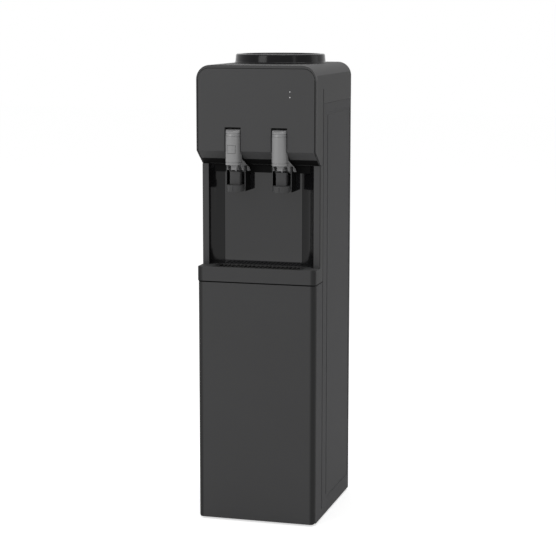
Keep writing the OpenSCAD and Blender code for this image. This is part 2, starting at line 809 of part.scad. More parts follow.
// Valve body of one tap, with its ears, flange and shank
module tap_body() {
    z = tap_z + nozzle_h;
    top = z + block_h;
    x = ears_w / 2;
    rear = splash_y;
    difference() {
        union() {
            block([-block_w / 2, block_front, z], [block_w / 2, block_back, top]);
            block([-block_w / 2, block_back - over, z], [block_w / 2, rear, top - neck_drop]);
            block([-x, rear - flange_t, tap_z], [x, rear, bar_z - clear]);
            for (s = [0, 1]) mirror([s, 0, 0]) translate([x - ear_t / 2, 0, 0]) across(ear_t) polygon([
                [ear_front, tap_z], [ear_front, top + ear_top], [ear_front + ear_t, top + ear_top],
                [pivot_y + pivot_r, pivot_z + pivot_r * ear_slope_share],
                [pivot_y + pivot_r, bar_z - clear], [rear, bar_z - clear], [rear, tap_z]]);
            rod_back(0, rear - over, shank_z, shank_d, shank_l - flange_t + over);
        }
        translate([0, chamber_y, z + chamber_floor]) cylinder(d = chamber_d, h = block_h);
        translate([0, nozzle_y + spout_step, z - over]) cylinder(d = spout_d, h = chamber_floor + 2 * over);
        rod_back(0, chamber_y, shank_z, shank_bore, body_d / 2);
        rod_across(pivot_y, pivot_z, pin_d + run_gap, ears_w + 2 * over);
    }
}

module at_tap(side) set_back() translate([side * tap_pitch / 2, 0, 0]) children();

module hot_tap_body() color("#2b2b2d") at_tap(hot_side) tap_body();

module normal_tap_body() color("#2b2b2d") at_tap(normal_side) tap_body();

// Nozzle with an outer skirt around the spout
module nozzle() translate([0, nozzle_y, tap_z]) difference() {
    union() {
        difference() {
            cylinder(d = nozzle_d, h = nozzle_h);
            translate([0, 0, -over]) cylinder(d = nozzle_d - 2 * skirt_t, h = nozzle_h - wall_t + over);
        }
        translate([0, spout_step, 0]) cylinder(d = spout_d + 2 * spout_wall, h = nozzle_h - wall_t / 2);
    }
    translate([0, spout_step, -over]) cylinder(d = spout_d, h = nozzle_h + 2 * over);
    for (s = [0, 1]) mirror([s, 0, 0])
        block([ears_w / 2 - ear_t - seam, ear_front - nozzle_y - seam, -over],
            [ears_w, nozzle_d, nozzle_h + over]);
}

module hot_nozzle() color("#333335") at_tap(hot_side) nozzle();

module normal_nozzle() color("#333335") at_tap(normal_side) nozzle();

// Screwed bonnet that closes the valve chamber
module bonnet() translate([0, chamber_y, tap_z + nozzle_h + block_h - chamber_top]) difference() {
    cylinder(d = chamber_d, h = chamber_top);
    translate([0, 0, -over]) cylinder(d = stem_d + run_gap, h = chamber_top + 2 * over);
}

module hot_bonnet() color("#6a6a6c") at_tap(hot_side) bonnet();

module normal_bonnet() color("#6a6a6c") at_tap(normal_side) bonnet();

// Stem from the seal up to its head above the fork
module stem() {
    z = valve_z + seal_t / 2;
    head = fork_z + fork_t + fork_clear;
    translate([0, chamber_y, 0]) {
        translate([0, 0, z]) cylinder(d = stem_d, h = head - z);
        translate([0, 0, head]) cylinder(d = stem_head_d, h = stem_head_t);
    }
}

module hot_stem() color("#c0c3c7") at_tap(hot_side) stem();

module normal_stem() color("#c0c3c7") at_tap(normal_side) stem();

// Rubber seal on the stem's lower end
module seal() translate([0, chamber_y, valve_z]) difference() {
    cylinder(d = seal_d, h = seal_t);
    translate([0, 0, seal_t / 2]) cylinder(d = stem_d, h = seal_t);
}

module hot_seal() color("#9b2d22") at_tap(hot_side) seal();

module normal_seal() color("#9b2d22") at_tap(normal_side) seal();

// Return spring between the seal and the bonnet, as one unbroken wire
module spring() {
    z = valve_z + seal_t;
    l = tap_z + nozzle_h + block_h - chamber_top - z;
    r = chamber_d / 2 - spring_wire - clear;
    per_turn = 10;
    n = spring_turns * per_turn;
    sides = 6;
    rise = (l - spring_wire) / n;
    function ring(i) = [for (k = [0 : sides - 1]) let (a = 360 * i / per_turn, b = 360 * k / sides,
        q = r + spring_wire / 2 * cos(b)) [q * cos(a), q * sin(a), spring_wire / 2 + rise * i +
        spring_wire / 2 * sin(b)]];
    points = [for (i = [0 : n]) each ring(i)];
    skin = [for (i = [0 : n - 1], k = [0 : sides - 1]) let (j = (k + 1) % sides, a = i * sides) each
        [[a + k, a + j + sides, a + j], [a + k, a + k + sides, a + j + sides]]];
    first = [for (k = [1 : sides - 2]) [0, k, k + 1]];
    last = [for (k = [1 : sides - 2]) [n * sides, n * sides + k + 1, n * sides + k]];
    translate([0, chamber_y, z]) polyhedron(points, concat(skin, first, last));
}

module hot_spring() color("#d0d3d6") at_tap(hot_side) spring();

module normal_spring() color("#d0d3d6") at_tap(normal_side) spring();

// Handle: an upright with a round front, and a hood that widens over the ears and carries the pivot
module handle() {
    low = tap_z + handle_up;
    top = handle_top;
    back = handle_d - handle_proud;
    r = handle_w / 2;
    tail_y = pivot_y + hood_tail;
    tail_z = pivot_z - hood_low;
    hub_w = ears_w - 2 * ear_t - 2 * cheek_gap;
    rear = splash_y;
    hollow_y = pivot_y - pivot_r - wall_t / 2;
    roof_fall = (low + hood_rise - tail_z) * (hollow_y + over - back) / (tail_y - back);
    difference() {
        union() {
            intersection() {
                translate([0, 0, low]) linear_extrude(handle_h + top_lean(back)) {
                    translate([0, r - handle_proud]) circle(r);
                    translate([-r, r - handle_proud]) square([handle_w, back - r + handle_proud]);
                }
                across(handle_w + 2 * over) handle_side(low, top, back);
            }
            intersection() {
                translate([0, 0, tail_z - over]) linear_extrude(handle_h) polygon([[-r, -handle_proud],
                    [r, -handle_proud], [r, back], [hood_w / 2, pivot_y - stem_d / 2], [hood_w / 2, rear],
                    [-hood_w / 2, rear], [-hood_w / 2, pivot_y - stem_d / 2], [-r, back]]);
                across(hood_w) polygon([[back / 2, low], [back / 2, low + hood_rise],
                    [back + over, low + hood_rise], [tail_y, tail_z],
                    [pivot_y - pivot_r - over, tail_z + over],
                    [block_back, tail_z + 2 * over], [ear_front - 2 * over, tail_z + 3 * over]]);
                translate([0, 0, tail_z]) backwards(0, body_d) polygon([
                    [-hood_w / 2, 0], [hood_w / 2, 0],
                    [hood_w / 2, shoulder_up], [r, low + hood_rise - tail_z], [-r, low + hood_rise - tail_z],
                    [-hood_w / 2, shoulder_up]]);
            }
            rod_across(pivot_y, pivot_z, 2 * pivot_r, hub_w);
            block([-tongue_w / 2, tongue_y, low - tongue_h], [tongue_w / 2, tongue_y + tongue_t, low + over]);
        }
        for (s = [0, 1]) mirror([s, 0, 0]) ear_slot();
        for (s = [0, 1]) mirror([s, 0, 0]) intersection() {
            translate([0, 0, tail_z - over]) linear_extrude(handle_h) polygon([
                [hood_rib, 0], [r - wall_t, 0], [r - wall_t, back],
                [hub_w / 2 - hood_cheek, hollow_y], [hood_rib, hollow_y]]);
            across(hood_w) polygon([
                [0, tail_z - 2 * over], [0, low], [back / 2, low], [back, low + hood_rise - hood_roof],
                [hollow_y + over, low + hood_rise - hood_roof - roof_fall],
                [hollow_y + over, tail_z - 2 * over]]);
        }
        rod_across(pivot_y, pivot_z, pin_d, hood_w + 2 * over);
        block([-stem_head_d / 2 - clear * 2, chamber_y - stem_head_d / 2 - 2 * over, tail_z - over],
            [stem_head_d / 2 + clear * 2, chamber_y + stem_head_d / 2 + over,
                fork_z + fork_t + stem_head_t + 3 * fork_clear]);
    }
    for (s = [0, 1]) mirror([s, 0, 0])
        block([stem_d / 2 + fork_gap, chamber_y - fork_l / 2, fork_z],
            [stem_head_d / 2 + 2 * clear + over, chamber_y + fork_l / 2, fork_z + fork_t]);
}

// Side outline of the upright, with a rounded upper front corner
module handle_side(low, top, back) {
    r = handle_top_r;
    front = -handle_proud;
    translate([front - over, low - over]) square([back - front + over, top - low - r + over]);
    translate([front + r, low]) square([back - front - r, top - low]);
    intersection() {
        translate([front + r, top - r]) circle(r);
        translate([front, low]) square([back - front, top - low]);
    }
    polygon([[front + r, top - r], [back, top - r], [back, top + top_lean(back)], [front + r, top]]);
}

// Rise of the handle's top towards its back, so that it lies level when it is pressed
function top_lean(back) = (back + handle_proud - handle_top_r) * tan(press_deg);

// Room for one ear under the hood
module ear_slot() {
    x = ears_w / 2 - ear_t - cheek_gap;
    top = tap_z + nozzle_h + block_h;
    translate([x + (ear_t + 2 * cheek_gap) / 2, 0, 0]) across(ear_t + 2 * cheek_gap) polygon([
        [0, tap_z], [0, top + ear_top + 2 * over], [ear_front + ear_t * 2, top + ear_top + 2 * over],
        [pivot_y + pivot_r + 2 * over, pivot_z + pivot_r * ear_slope_share + 2 * over],
        [body_d / 2, pivot_z + pivot_r * ear_slope_share], [body_d / 2, tap_z]]);
}

module hot_handle() color("#8c8c8e") at_tap(hot_side) difference() {
    handle();
    block([-lock_w / 2 - clear / 2, -handle_proud - over, lock_z - clear / 2],
        [lock_w / 2 + clear / 2, -handle_proud + lock_deep + lock_travel + clear,
            lock_z + lock_h + clear / 2]);
}

module normal_handle() color("#8c8c8e") at_tap(normal_side) handle();

module lock_button() color("#9a9a9c") at_tap(hot_side)
    translate([0, 0, lock_z]) linear_extrude(lock_h) intersection() {
        translate([0, handle_w / 2 - handle_proud - lock_proud]) circle(handle_w / 2);
        translate([-lock_w / 2, -handle_proud - over]) square([lock_w, lock_deep + over]);
    }

module pivot_pin() rod_across(pivot_y, pivot_z, pin_d, pin_l);

module hot_pin() color("#b5b8bc") at_tap(hot_side) pivot_pin();

module normal_pin() color("#b5b8bc") at_tap(normal_side) pivot_pin();

module tap_washers() color("#8a4a30") for (s = [-1, 1]) at_tap(s) difference() {
    rod_back(0, splash_y + splash_t, shank_z, washer_d, washer_t);
    rod_back(0, splash_y, shank_z, shank_d + run_gap, splash_t + washer_t + over);
}

module tap_nuts() color("#d4d4d0") for (s = [-1, 1]) at_tap(s) difference() {
    translate([0, splash_y + splash_t + washer_t, shank_z]) rotate([-90, 0, 0])
        cylinder(d = nut_d, h = nut_t, $fn = nut_sides);
    rod_back(0, splash_y, shank_z, shank_d + run_gap, shank_l);
}

module drip_tray() {
    y = band_front + clear;
    z = band_top - grille_t - tray_h;
    color("#121214") set_back() difference() {
        block([-tray_w / 2, y, z], [tray_w / 2, y + tray_d, z + tray_h]);
        block([-tray_w / 2 + wall_t, y + wall_t, z + wall_t],
            [tray_w / 2 - wall_t, y + tray_d - wall_t, z + tray_h + over]);
    }
}

module drip_grille() {
    y = band_front + clear;
    z = band_top - grille_t;
    n = floor((tray_w - 2 * slot_w) / (2 * slot_w));
    color("#161618") set_back() difference() {
        block([-tray_w / 2, y, z], [tray_w / 2, y + tray_d, z + grille_t]);
        for (i = [0 : n - 1]) translate([(i - (n - 1) / 2) * 2 * slot_w, y, z - over])
            block([-slot_w / 2, wall_t * 2, 0], [slot_w / 2, tray_d - wall_t * 2, grille_t + 2 * over]);
    }
}

module case_screws() color("#9a9da0") set_back()
    for (x = [-1, 1], z = [foot_h + base_h, side_top / 2, side_top - 2 * field_in])
        rod_back(x * (body_w / 2 - flange_w), body_d, z, screw_d, screw_t);

base_tray();
feet();
left_side_panel();
right_side_panel();
rear_panel();
lower_front_panel();
tray_surround();
alcove_frame();
back_splash();
tap_bar();
front_fascia();
head_casing();
bottle_collar();
collar_gasket();
bottle_probe();
reservoir();
tank_shelf();
hot_tank();
left_insulation();
right_insulation();
heater_band();
tank_thermostats();
normal_hose();
feed_hose();
hot_hose();
drain_pipe();
drain_cap();
indicator_board();
indicator_lenses();
switch_housing();
switch_rocker();
cord_inlet();
terminal_block();
hot_tap_body();
normal_tap_body();
hot_nozzle();
normal_nozzle();
hot_bonnet();
normal_bonnet();
hot_stem();
normal_stem();
hot_seal();
normal_seal();
hot_spring();
normal_spring();
hot_handle();
normal_handle();
hot_pin();
normal_pin();
lock_button();
tap_washers();
tap_nuts();
drip_tray();
drip_grille();
case_screws();
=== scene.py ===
# Floor-standing hot and normal water dispenser: fitted pieces, finishes, studio and camera
import json
import math

import bmesh
import bpy
from mathutils import Matrix, Vector


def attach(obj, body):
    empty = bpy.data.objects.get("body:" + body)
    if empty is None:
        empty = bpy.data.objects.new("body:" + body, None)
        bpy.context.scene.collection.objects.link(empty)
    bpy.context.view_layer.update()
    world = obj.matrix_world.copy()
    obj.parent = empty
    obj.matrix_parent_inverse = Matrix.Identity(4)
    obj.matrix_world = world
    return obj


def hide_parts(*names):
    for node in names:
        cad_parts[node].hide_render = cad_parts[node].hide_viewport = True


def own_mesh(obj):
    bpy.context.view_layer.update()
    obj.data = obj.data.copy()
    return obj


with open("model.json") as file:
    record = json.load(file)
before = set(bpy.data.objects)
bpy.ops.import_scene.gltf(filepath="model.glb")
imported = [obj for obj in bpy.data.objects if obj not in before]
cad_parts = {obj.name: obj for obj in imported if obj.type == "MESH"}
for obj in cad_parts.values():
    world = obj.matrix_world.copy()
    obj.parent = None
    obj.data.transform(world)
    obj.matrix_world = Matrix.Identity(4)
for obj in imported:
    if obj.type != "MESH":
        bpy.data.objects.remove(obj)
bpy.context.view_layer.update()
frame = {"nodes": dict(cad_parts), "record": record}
nodes = frame["nodes"]
print("frame loaded:", len(nodes), "nodes")

mm = 0.001
halfDepth = 156     # the frame's y = 0 lies this far behind the front skin
over = 1            # how far a cutting tool runs past the face that it opens


# Turns a place measured from the front skin, in millimetres, into the frame's metres
def spot(x, y, z):
    return Vector((x * mm, (y - halfDepth) * mm, z * mm))


# Socket with Python's operators, so that masks and shades are written as sums
class Wire:
    def __init__(self, tree, socket):
        self.tree = tree
        self.socket = socket

    def math(self, operation, first, second):
        return self.tree.add("ShaderNodeMath", {"operation": operation}, {0: first, 1: second})

    def __add__(self, other):
        return self.math("ADD", self, other)

    __radd__ = __add__

    def __sub__(self, other):
        return self.math("SUBTRACT", self, other)

    def __rsub__(self, other):
        return self.math("SUBTRACT", other, self)

    def __mul__(self, other):
        return self.math("MULTIPLY", self, other)

    __rmul__ = __mul__

    def __lt__(self, other):
        return self.math("LESS_THAN", self, other)

    def __gt__(self, other):
        return self.math("GREATER_THAN", self, other)


# One way to add any node: its settings first, then the values or links of its sockets
class NodeBoard:
    def __init__(self, tree):
        self.tree = tree

    def add(self, kind, settings=None, sockets=None, out=0):
        node = self.tree.nodes.new(kind)
        for key, value in (settings or {}).items():
            setattr(node, key, value)
        for key, value in (sockets or {}).items():
            for one in value if isinstance(value, list) else [value]:
                if isinstance(one, Wire):
                    self.tree.links.new(one.socket, node.inputs[key])
                else:
                    node.inputs[key].default_value = one
        return Wire(self, node.outputs[out] if node.outputs else None)


class Finish(NodeBoard):
    def __init__(self, name):
        self.material = bpy.data.materials.new(name)
        self.material.use_nodes = True
        super().__init__(self.material.node_tree)
        self.tree.nodes.clear()

    def noise(self, scale, detail, roughness, stretch=(1, 1, 1)):
        place = self.add("ShaderNodeTexCoord", out=3)
        spread = self.add("ShaderNodeMapping", {}, {"Vector": place, "Scale": stretch})
        return self.add("ShaderNodeTexNoise", {}, {"Vector": spread, "Scale": scale, "Detail": detail,
                                                   "Roughness": roughness})

    # How near a worn or rubbed edge a point lies: 1 on the edge, 0 away from it
    def edge(self, width=0.0012, steep=3.0):
        plain = self.add("ShaderNodeNewGeometry", out=1)
        soft = self.add("ShaderNodeBevel", {"samples": 4}, {"Radius": width})
        same = self.add("ShaderNodeVectorMath", {"operation": "DOT_PRODUCT"}, {0: plain, 1: soft}, out=1)
        return self.add("ShaderNodeClamp", {}, {"Value": (1 - same) * steep})

    # Mixes two colours, each a wire or three numbers
    def blend(self, amount, low, high):
        pair = [colour if isinstance(colour, Wire) else (*colour, 1) for colour in (low, high)]
        return self.add("ShaderNodeMix", {"data_type": "RGBA"}, {0: amount, 6: pair[0], 7: pair[1]}, out=2)

    def grainBump(self, height, strength, distance):
        return self.add("ShaderNodeBump", {}, {"Height": height, "Strength": strength, "Distance": distance})

    def surface(self, shader):
        self.add("ShaderNodeOutputMaterial", {}, {"Surface": shader})
        return self.material

    # Closes the finish with one plastic, rubber, foam or metal surface
    def plain(self, sockets, settings=None):
        return self.surface(self.add("ShaderNodeBsdfPrincipled", settings or {}, sockets))


def shaded(colour, share):
    return [value * share for value in colour]


# Painted shade round the covers' upright front corners: places in metres, and shares of the dark colour
paintedCornerShade = {"colour": (0.004, 0.004, 0.004), "bandTop": 0.56, "slopeTop": 0.95, "cornerBack": -0.1445,
              "rampStart": 0.117, "rampEnd": 0.122, "upperCorner": 0.1255, "upperShare": 0.6, "flank": 0.1285,
              "flankShare": 0.55, "lowerShare": 0.17}


# Share of the painted shade: most round the corners, less on the flanks, slight on the whole lower half
def paintedShadeShare(f, most):
    t = paintedCornerShade
    place = f.add("ShaderNodeTexCoord", out=3)
    x, y, z = [f.add("ShaderNodeSeparateXYZ", {}, {0: place}, out=k) for k in range(3)]
    side = f.add("ShaderNodeMath", {"operation": "ABSOLUTE"}, {0: x})
    below = z < t["bandTop"]
    lower = below * t["lowerShare"]
    span = {"Value": side, "From Min": t["rampStart"], "From Max": t["rampEnd"]}
    ramp = f.add("ShaderNodeMapRange", {}, span)
    upper = (side > t["upperCorner"]) * (z > t["bandTop"]) * (z < t["slopeTop"]) * t["upperShare"]
    corner = (ramp * below + upper) * (y < t["cornerBack"])
    flank = (side > t["flank"]) * (y > t["cornerBack"]) * (t["flankShare"] - lower)
    return corner * (most - lower) + flank + lower


# Moulded or coated surface: tone drifts slowly, fine grain stands in the bump, edges are rubbed paler;
# corners sets the share of painted shade round the front corners
def coatedFinish(name, colour, roughness, grain=0.05, fineness=1800, drift=0.05, tone=0.05, rub=0.25,
                 shine=0.5, corners=0.0):
    look = {"patches": (7, 4, 0.55), "fine": (2, 0.6), "wear": (60, 3, 0.7), "rubbedShare": 2.2,
            "rubbedLift": 0.02, "rubbedRough": 0.15, "grainDeep": 0.0002}
    f = Finish(name)
    patches = f.noise(*look["patches"])
    fine = f.noise(fineness, *look["fine"])
    worn = f.edge() * f.noise(*look["wear"]) * rub
    shade = f.blend(patches, shaded(colour, 1 - tone), shaded(colour, 1 + tone))
    # Painted shade: darker round the front corners, on the flanks and over the lower half
    if corners:
        shade = f.blend(paintedShadeShare(f, corners), shade, paintedCornerShade["colour"])
    rubbed = [min(1.0, value + look["rubbedLift"]) for value in shaded(colour, look["rubbedShare"])]
    return f.plain({
        "Base Color": f.blend(worn, shade, rubbed),
        "Roughness": roughness + (patches - 0.5) * drift + worn * look["rubbedRough"],
        "Normal": f.grainBump(fine, grain, look["grainDeep"]), "Specular IOR Level": shine})


# Glossy moulded plastic, with faint wiping marks in its shine
def glossFinish(name, colour, roughness, marks=0.05, shine=0.5):
    look = {"smears": (5, 5, 0.6, (1, 1, 4)), "waves": (14, 1, 0.4), "tone": 0.1, "wave": 0.02,
            "waveDeep": 0.001, "middle": 0.4}
    f = Finish(name)
    smears = f.noise(*look["smears"])
    waves = f.noise(*look["waves"])
    return f.plain({
        "Base Color": f.blend(smears, shaded(colour, 1 - look["tone"]), shaded(colour, 1 + look["tone"])),
        "Roughness": roughness + (smears - look["middle"]) * marks,
        "Normal": f.grainBump(waves, look["wave"], look["waveDeep"]), "Specular IOR Level": shine})


# Metal with fine drawn lines along one axis
def drawnFinish(name, colour, roughness, along=(1, 1, 30)):
    look = {"lines": (90, 3, 0.7), "dark": 0.82, "line": 0.15, "lineDeep": 0.0001, "spread": 0.15}
    f = Finish(name)
    lines = f.noise(*look["lines"], along)
    return f.plain({
        "Base Color": f.blend(lines, shaded(colour, look["dark"]), colour),
        "Roughness": roughness + (lines - 0.5) * look["spread"],
        "Normal": f.grainBump(lines, look["line"], look["lineDeep"]), "Metallic": 1.0},
        {"distribution": "MULTI_GGX"})


# Foam with open cells
def foamFinish(name, colour):
    look = {"cells": 420, "dark": 0.75, "rough": 0.85, "spread": 0.1, "cell": 0.6, "cellDeep": 0.001}
    f = Finish(name)
    place = f.add("ShaderNodeTexCoord", out=3)
    cells = f.add("ShaderNodeTexVoronoi", {}, {"Vector": place, "Scale": look["cells"]})
    return f.plain({
        "Base Color": f.blend(cells, shaded(colour, look["dark"]), colour),
        "Roughness": look["rough"] + cells * look["spread"],
        "Normal": f.grainBump(cells, look["cell"], look["cellDeep"])})


# Clear milky silicone
def siliconeFinish(name, colour):
    look = {"cloud": (30, 3, 0.5), "dark": 0.92, "rough": 0.32, "spread": 0.15, "milk": 0.25,
            "milkDeep": 0.004}
    f = Finish(name)
    cloud = f.noise(*look["cloud"])
    return f.plain({
        "Base Color": f.blend(cloud, shaded(colour, look["dark"]), colour),
        "Roughness": look["rough"] + cloud * look["spread"],
        "Subsurface Weight": look["milk"], "Subsurface Scale": look["milkDeep"]})


finishes = {
    # the covers carry painted shade round their front corners, on their flanks and over their lower half
    "cover_plastic": coatedFinish("satinCover", (0.063, 0.063, 0.064), 0.62, shine=0.15, corners=0.72),
    "side_steel": coatedFinish("sideSheet", (0.04, 0.04, 0.0415), 0.7, grain=0.12, fineness=900, shine=0.15),
    "rear_steel": coatedFinish("rearSheet", (0.042, 0.042, 0.044), 0.6, grain=0.14, fineness=900, shine=0.25),
    "gloss_black": glossFinish("glossSplash", (0.010, 0.010, 0.011), 0.05, shine=0.6),
    "base_plastic": coatedFinish("mattBlackPlastic", (0.010, 0.010, 0.010), 0.45, grain=0.08, fineness=1400),
    "foot_rubber": coatedFinish("footRubber", (0.014, 0.014, 0.014), 0.75, grain=0.2, fineness=1200),
    "tap_plastic": coatedFinish("tapPlastic", (0.060, 0.060, 0.061), 0.45, shine=0.15),
    "handle_plastic": coatedFinish("handlePlastic", (0.25, 0.25, 0.252), 0.36, grain=0.04, tone=0.04),
    "clear_plastic": coatedFinish("naturalPlastic", (0.66, 0.67, 0.68), 0.4),
    "tank_steel": drawnFinish("tankSteel", (0.56, 0.57, 0.58), 0.3),
    "foam": foamFinish("insulationFoam", (0.72, 0.69, 0.6)),
    "heater_brass": drawnFinish("heaterBrass", (0.55, 0.4, 0.18), 0.35),
    "silicone": siliconeFinish("siliconeHose", (0.7, 0.7, 0.71)),
    "seal_rubber": coatedFinish("redRubber", (0.30, 0.05, 0.04), 0.6, grain=0.1, fineness=1200),
    "pin_steel": drawnFinish("pinSteel", (0.36, 0.36, 0.37), 0.45, along=(30, 1, 1)),
    "board_green": coatedFinish("boardGreen", (0.03, 0.13, 0.05), 0.35, grain=0.1, fineness=900),
    "lens_light": coatedFinish("lensPlastic", (0.62, 0.62, 0.62), 0.25, grain=0.0, fineness=900),
    "rocker_red": coatedFinish("rockerRed", (0.42, 0.02, 0.015), 0.25, grain=0.02, fineness=1500),
    "collar_gloss": glossFinish("collarGloss", (0.008, 0.008, 0.009), 0.14, shine=0.12),
    "screw_steel": drawnFinish("screwSteel", (0.55, 0.55, 0.56), 0.3),
}
# Matt black plastic for the tap bar and the slope insert, also used as painted shade on gap faces and the
# taps' flanks
blackPlasticAndPaintedShade = coatedFinish("deepBlackPlastic", (0.0035, 0.0035, 0.0036), 0.6, rub=0.0, shine=0.05)
coveGloss = glossFinish("coveGloss", (0.006, 0.006, 0.0065), 0.12, shine=0.25)
slotOf = {part["node"]: part["material_slot"] for part in frame["record"]["subparts"]}


def dress(thing, slot):
    thing.data.materials.clear()
    thing.data.materials.append(finishes[slot])


for name, thing in nodes.items():
    dress(thing, slotOf[name])
print("finishes on the frame's nodes")


# Mesh tools, all in millimetres from the front skin
order = {"x": lambda a, b, t: (t, a, b), "y": lambda a, b, t: (a, t, b), "z": lambda a, b, t: (a, b, t)}
smoothing = {"merge": 1e-6, "flat": 0.5, "bevelFrom": 32, "sharpFrom": 50}


def arcPoints(cx, cy, radius, start, end, steps):
    angles = [math.radians(start + (end - start) * k / steps) for k in range(steps + 1)]
    return [(cx + radius * math.cos(a), cy + radius * math.sin(a)) for a in angles]


# Outline whose corners may carry a radius as their third value
def rounded(corners, steps=6):
    points = []
    for i, corner in enumerate(corners):
        here = Vector(corner[:2])
        if len(corner) < 3:
            points.append(tuple(here))
            continue
        before = (Vector(corners[i - 1][:2]) - here).normalized()
        after = (Vector(corners[(i + 1) % len(corners)][:2]) - here).normalized()
        half = before.angle(after) / 2
        middle = here + (before + after).normalized() * (corner[2] / math.sin(half))
        start = here + before * (corner[2] / math.tan(half)) - middle
        end = here + after * (corner[2] / math.tan(half)) - middle
        turn = start.angle_signed(end)
        for k in range(steps + 1):
            points.append(tuple(middle + Matrix.Rotation(-turn * k / steps, 2) @ start))
    return points


def rect(low, high, radius=0.0):
    (a, b), (c, d) = low, high
    corners = [(a, b), (c, b), (c, d), (a, d)]
    return rounded([(*p, radius) for p in corners]) if radius else corners


# Outline about the middle whose two near corners are rounded and whose far ones are square
def nearRounded(half, near, far, radius, steps=6):
    return rounded([(-half, far), (-half, near, radius), (half, near, radius), (half, far)], steps)


# Outline about the middle whose two top corners are rounded
def arch(half, low, high, radius):
    return rounded([(-half, low), (half, low), (half, high, radius), (-half, high, radius)], 14)


def linked(name, data):
    thing = bpy.data.objects.new(name, data)
    bpy.context.scene.collection.objects.link(thing)
    return thing


def objectFrom(shape):
    bmesh.ops.recalc_face_normals(shape, faces=shape.faces)
    mesh = bpy.data.meshes.new("shape")
    shape.to_mesh(mesh)
    shape.free()
    return linked("shape", mesh)


# Closed shell through rings of equally many points
def loft(rings):
    shape = bmesh.new()
    loops = [[shape.verts.new(spot(*point)) for point in ring] for ring in rings]
    shape.faces.new(loops[0])
    shape.faces.new(loops[-1])
    for one, two in zip(loops, loops[1:]):
        for i in range(len(one)):
            j = (i + 1) % len(one)
            shape.faces.new((one[i], one[j], two[j], two[i]))
    return objectFrom(shape)


# Outline carried along an axis from low to high
def prism(outline, axis, low, high):
    return loft([[order[axis](a, b, t) for a, b in outline] for t in (low, high)])


def brick(low, high):
    return prism(rect(low[:2], high[:2]), "z", low[2], high[2])


# Brick across the middle, from one (depth, height) to another
def midBrick(half, low, high):
    return brick((-half, *low), (half, *high))


# Brick on one side of the middle, -1 or 1, between two distances from it
def sideBrick(side, near, far, low, high):
    first, last = sorted((side * near, side * far))
    return brick((first, *low), (last, *high))


# Profile of (radius, height) turned round an upright axis, or round one that lies front to back
def lathe(profile, x, y, z, axis="z", turns=96, closed=True):
    shape = bmesh.new()

    def corner(u, v, height):
        place = (x + u, y + v, z + height) if axis == "z" else (x + u, y + height, z + v)
        return shape.verts.new(spot(*place))

    angles = [2 * math.pi * k / turns for k in range(turns)]
    rings = []
    for radius, height in profile:
        if radius == 0:
            rings.append([corner(0, 0, height)])
        else:
            rings.append([corner(radius * math.cos(a), radius * math.sin(a), height) for a in angles])
    pairs = list(zip(rings, rings[1:])) + ([(rings[-1], rings[0])] if closed else [])
    for one, two in pairs:
        for k in range(turns if len(one) + len(two) > 2 else 0):
            j = (k + 1) % turns
            corners = one[k % len(one)], one[j % len(one)], two[j % len(two)], two[k % len(two)]
            shape.faces.new(dict.fromkeys(corners))     # a ring on the axis is a single point
    return objectFrom(shape)


# Round tool for a hole, from low to high along its axis
def plug(radius, low, high, place, axis="y", turns=48):
    return lathe([(radius, low), (radius, high), (0, high), (0, low)], *place, axis, turns, False)


def applyModifiers(thing):
    fresh = bpy.data.meshes.new_from_object(thing.evaluated_get(bpy.context.evaluated_depsgraph_get()))
    thing.modifiers.clear()
    thing.data = fresh
    return thing


# Joins, cuts or trims a shape with others, and removes them
def combine(thing, others, operation):
    for other in others:
        step = thing.modifiers.new("step", "BOOLEAN")
        step.operation = operation
        step.solver = "EXACT"
        step.object = other
    applyModifiers(thing)
    for other in others:
        bpy.data.objects.remove(other)
    return thing


def cut(thing, *others):
    return combine(thing, others, "DIFFERENCE")


def weld(thing, *others):
    return combine(thing, others, "UNION")


def trim(thing, *others):
    return combine(thing, others, "INTERSECT")


# Several closed shells in one object
def gather(things):
    shape = bmesh.new()
    for thing in things:
        shape.from_mesh(thing.data)
        bpy.data.objects.remove(thing)
    return objectFrom(shape)


# Softens the edges by a width, where there is one, and settles the shading of a finished shape
def soften(thing, width, steps=3):
    shape = bmesh.new()
    shape.from_mesh(thing.data)
    bmesh.ops.remove_doubles(shape, verts=shape.verts, dist=smoothing["merge"])
    flat = math.radians(smoothing["flat"])
    bmesh.ops.dissolve_limit(shape, angle_limit=flat, verts=shape.verts, edges=shape.edges)
    shape.to_mesh(thing.data)
    shape.free()
    if width:
        bevel = thing.modifiers.new("edges", "BEVEL")
        bevel.width = width * mm
        bevel.segments = steps
        bevel.limit_method = "ANGLE"
        bevel.angle_limit = math.radians(smoothing["bevelFrom"])
        bevel.use_clamp_overlap = True
        bevel.harden_normals = True
    for face in thing.data.polygons:
        face.use_smooth = True
    thing.data.set_sharp_from_angle(angle=math.radians(smoothing["sharpFrom"]))
    return applyModifiers(thing)


# Puts a finished piece in place of its nodes, on the body that carries them
def seat(thing, name, body, slot, *replaced):
    thing.name = name
    thing.data.name = name
    dress(thing, slot)
    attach(thing, body)
    if replaced:
        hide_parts(*replaced)
    return thing


# Gives the faces that a test picks a finish of their own
def paintFaces(thing, finish, chosen):
    thing.data.materials.append(finish)
    for face in thing.data.polygons:
        x, y, z = face.center / mm
        if chosen(x, y + halfDepth, z, face.normal):
            face.material_index = len(thing.data.materials) - 1


# Cabinet: all lengths in millimetres, depths from the front skin
cabinet = {"half": 130, "deep": 312, "wall": 2.5, "sheet": 1.6, "low": 4, "lowerTop": 521, "bandLow": 523.5,
           "bandTop": 554, "fasciaLow": 801, "fasciaTop": 973, "sideTop": 900, "headTop": 980,
           "headRadius": 30, "joint": 61, "slopeDeep": 41, "slopeLow": 771, "edgeRadius": 12, "seam": 0.3}
c = cabinet
wall = c["wall"]
tapPlaces = {"hot": -50.4, "normal": 50.4}


sideSheet = {"field": (98, 42, 298, 877.7), "groove": 0.7, "grooveWide": 6, "outerBend": 8, "innerBend": 3,
             "fold": 14, "lineLow": 24, "linePast": 9, "edge": 0.3}


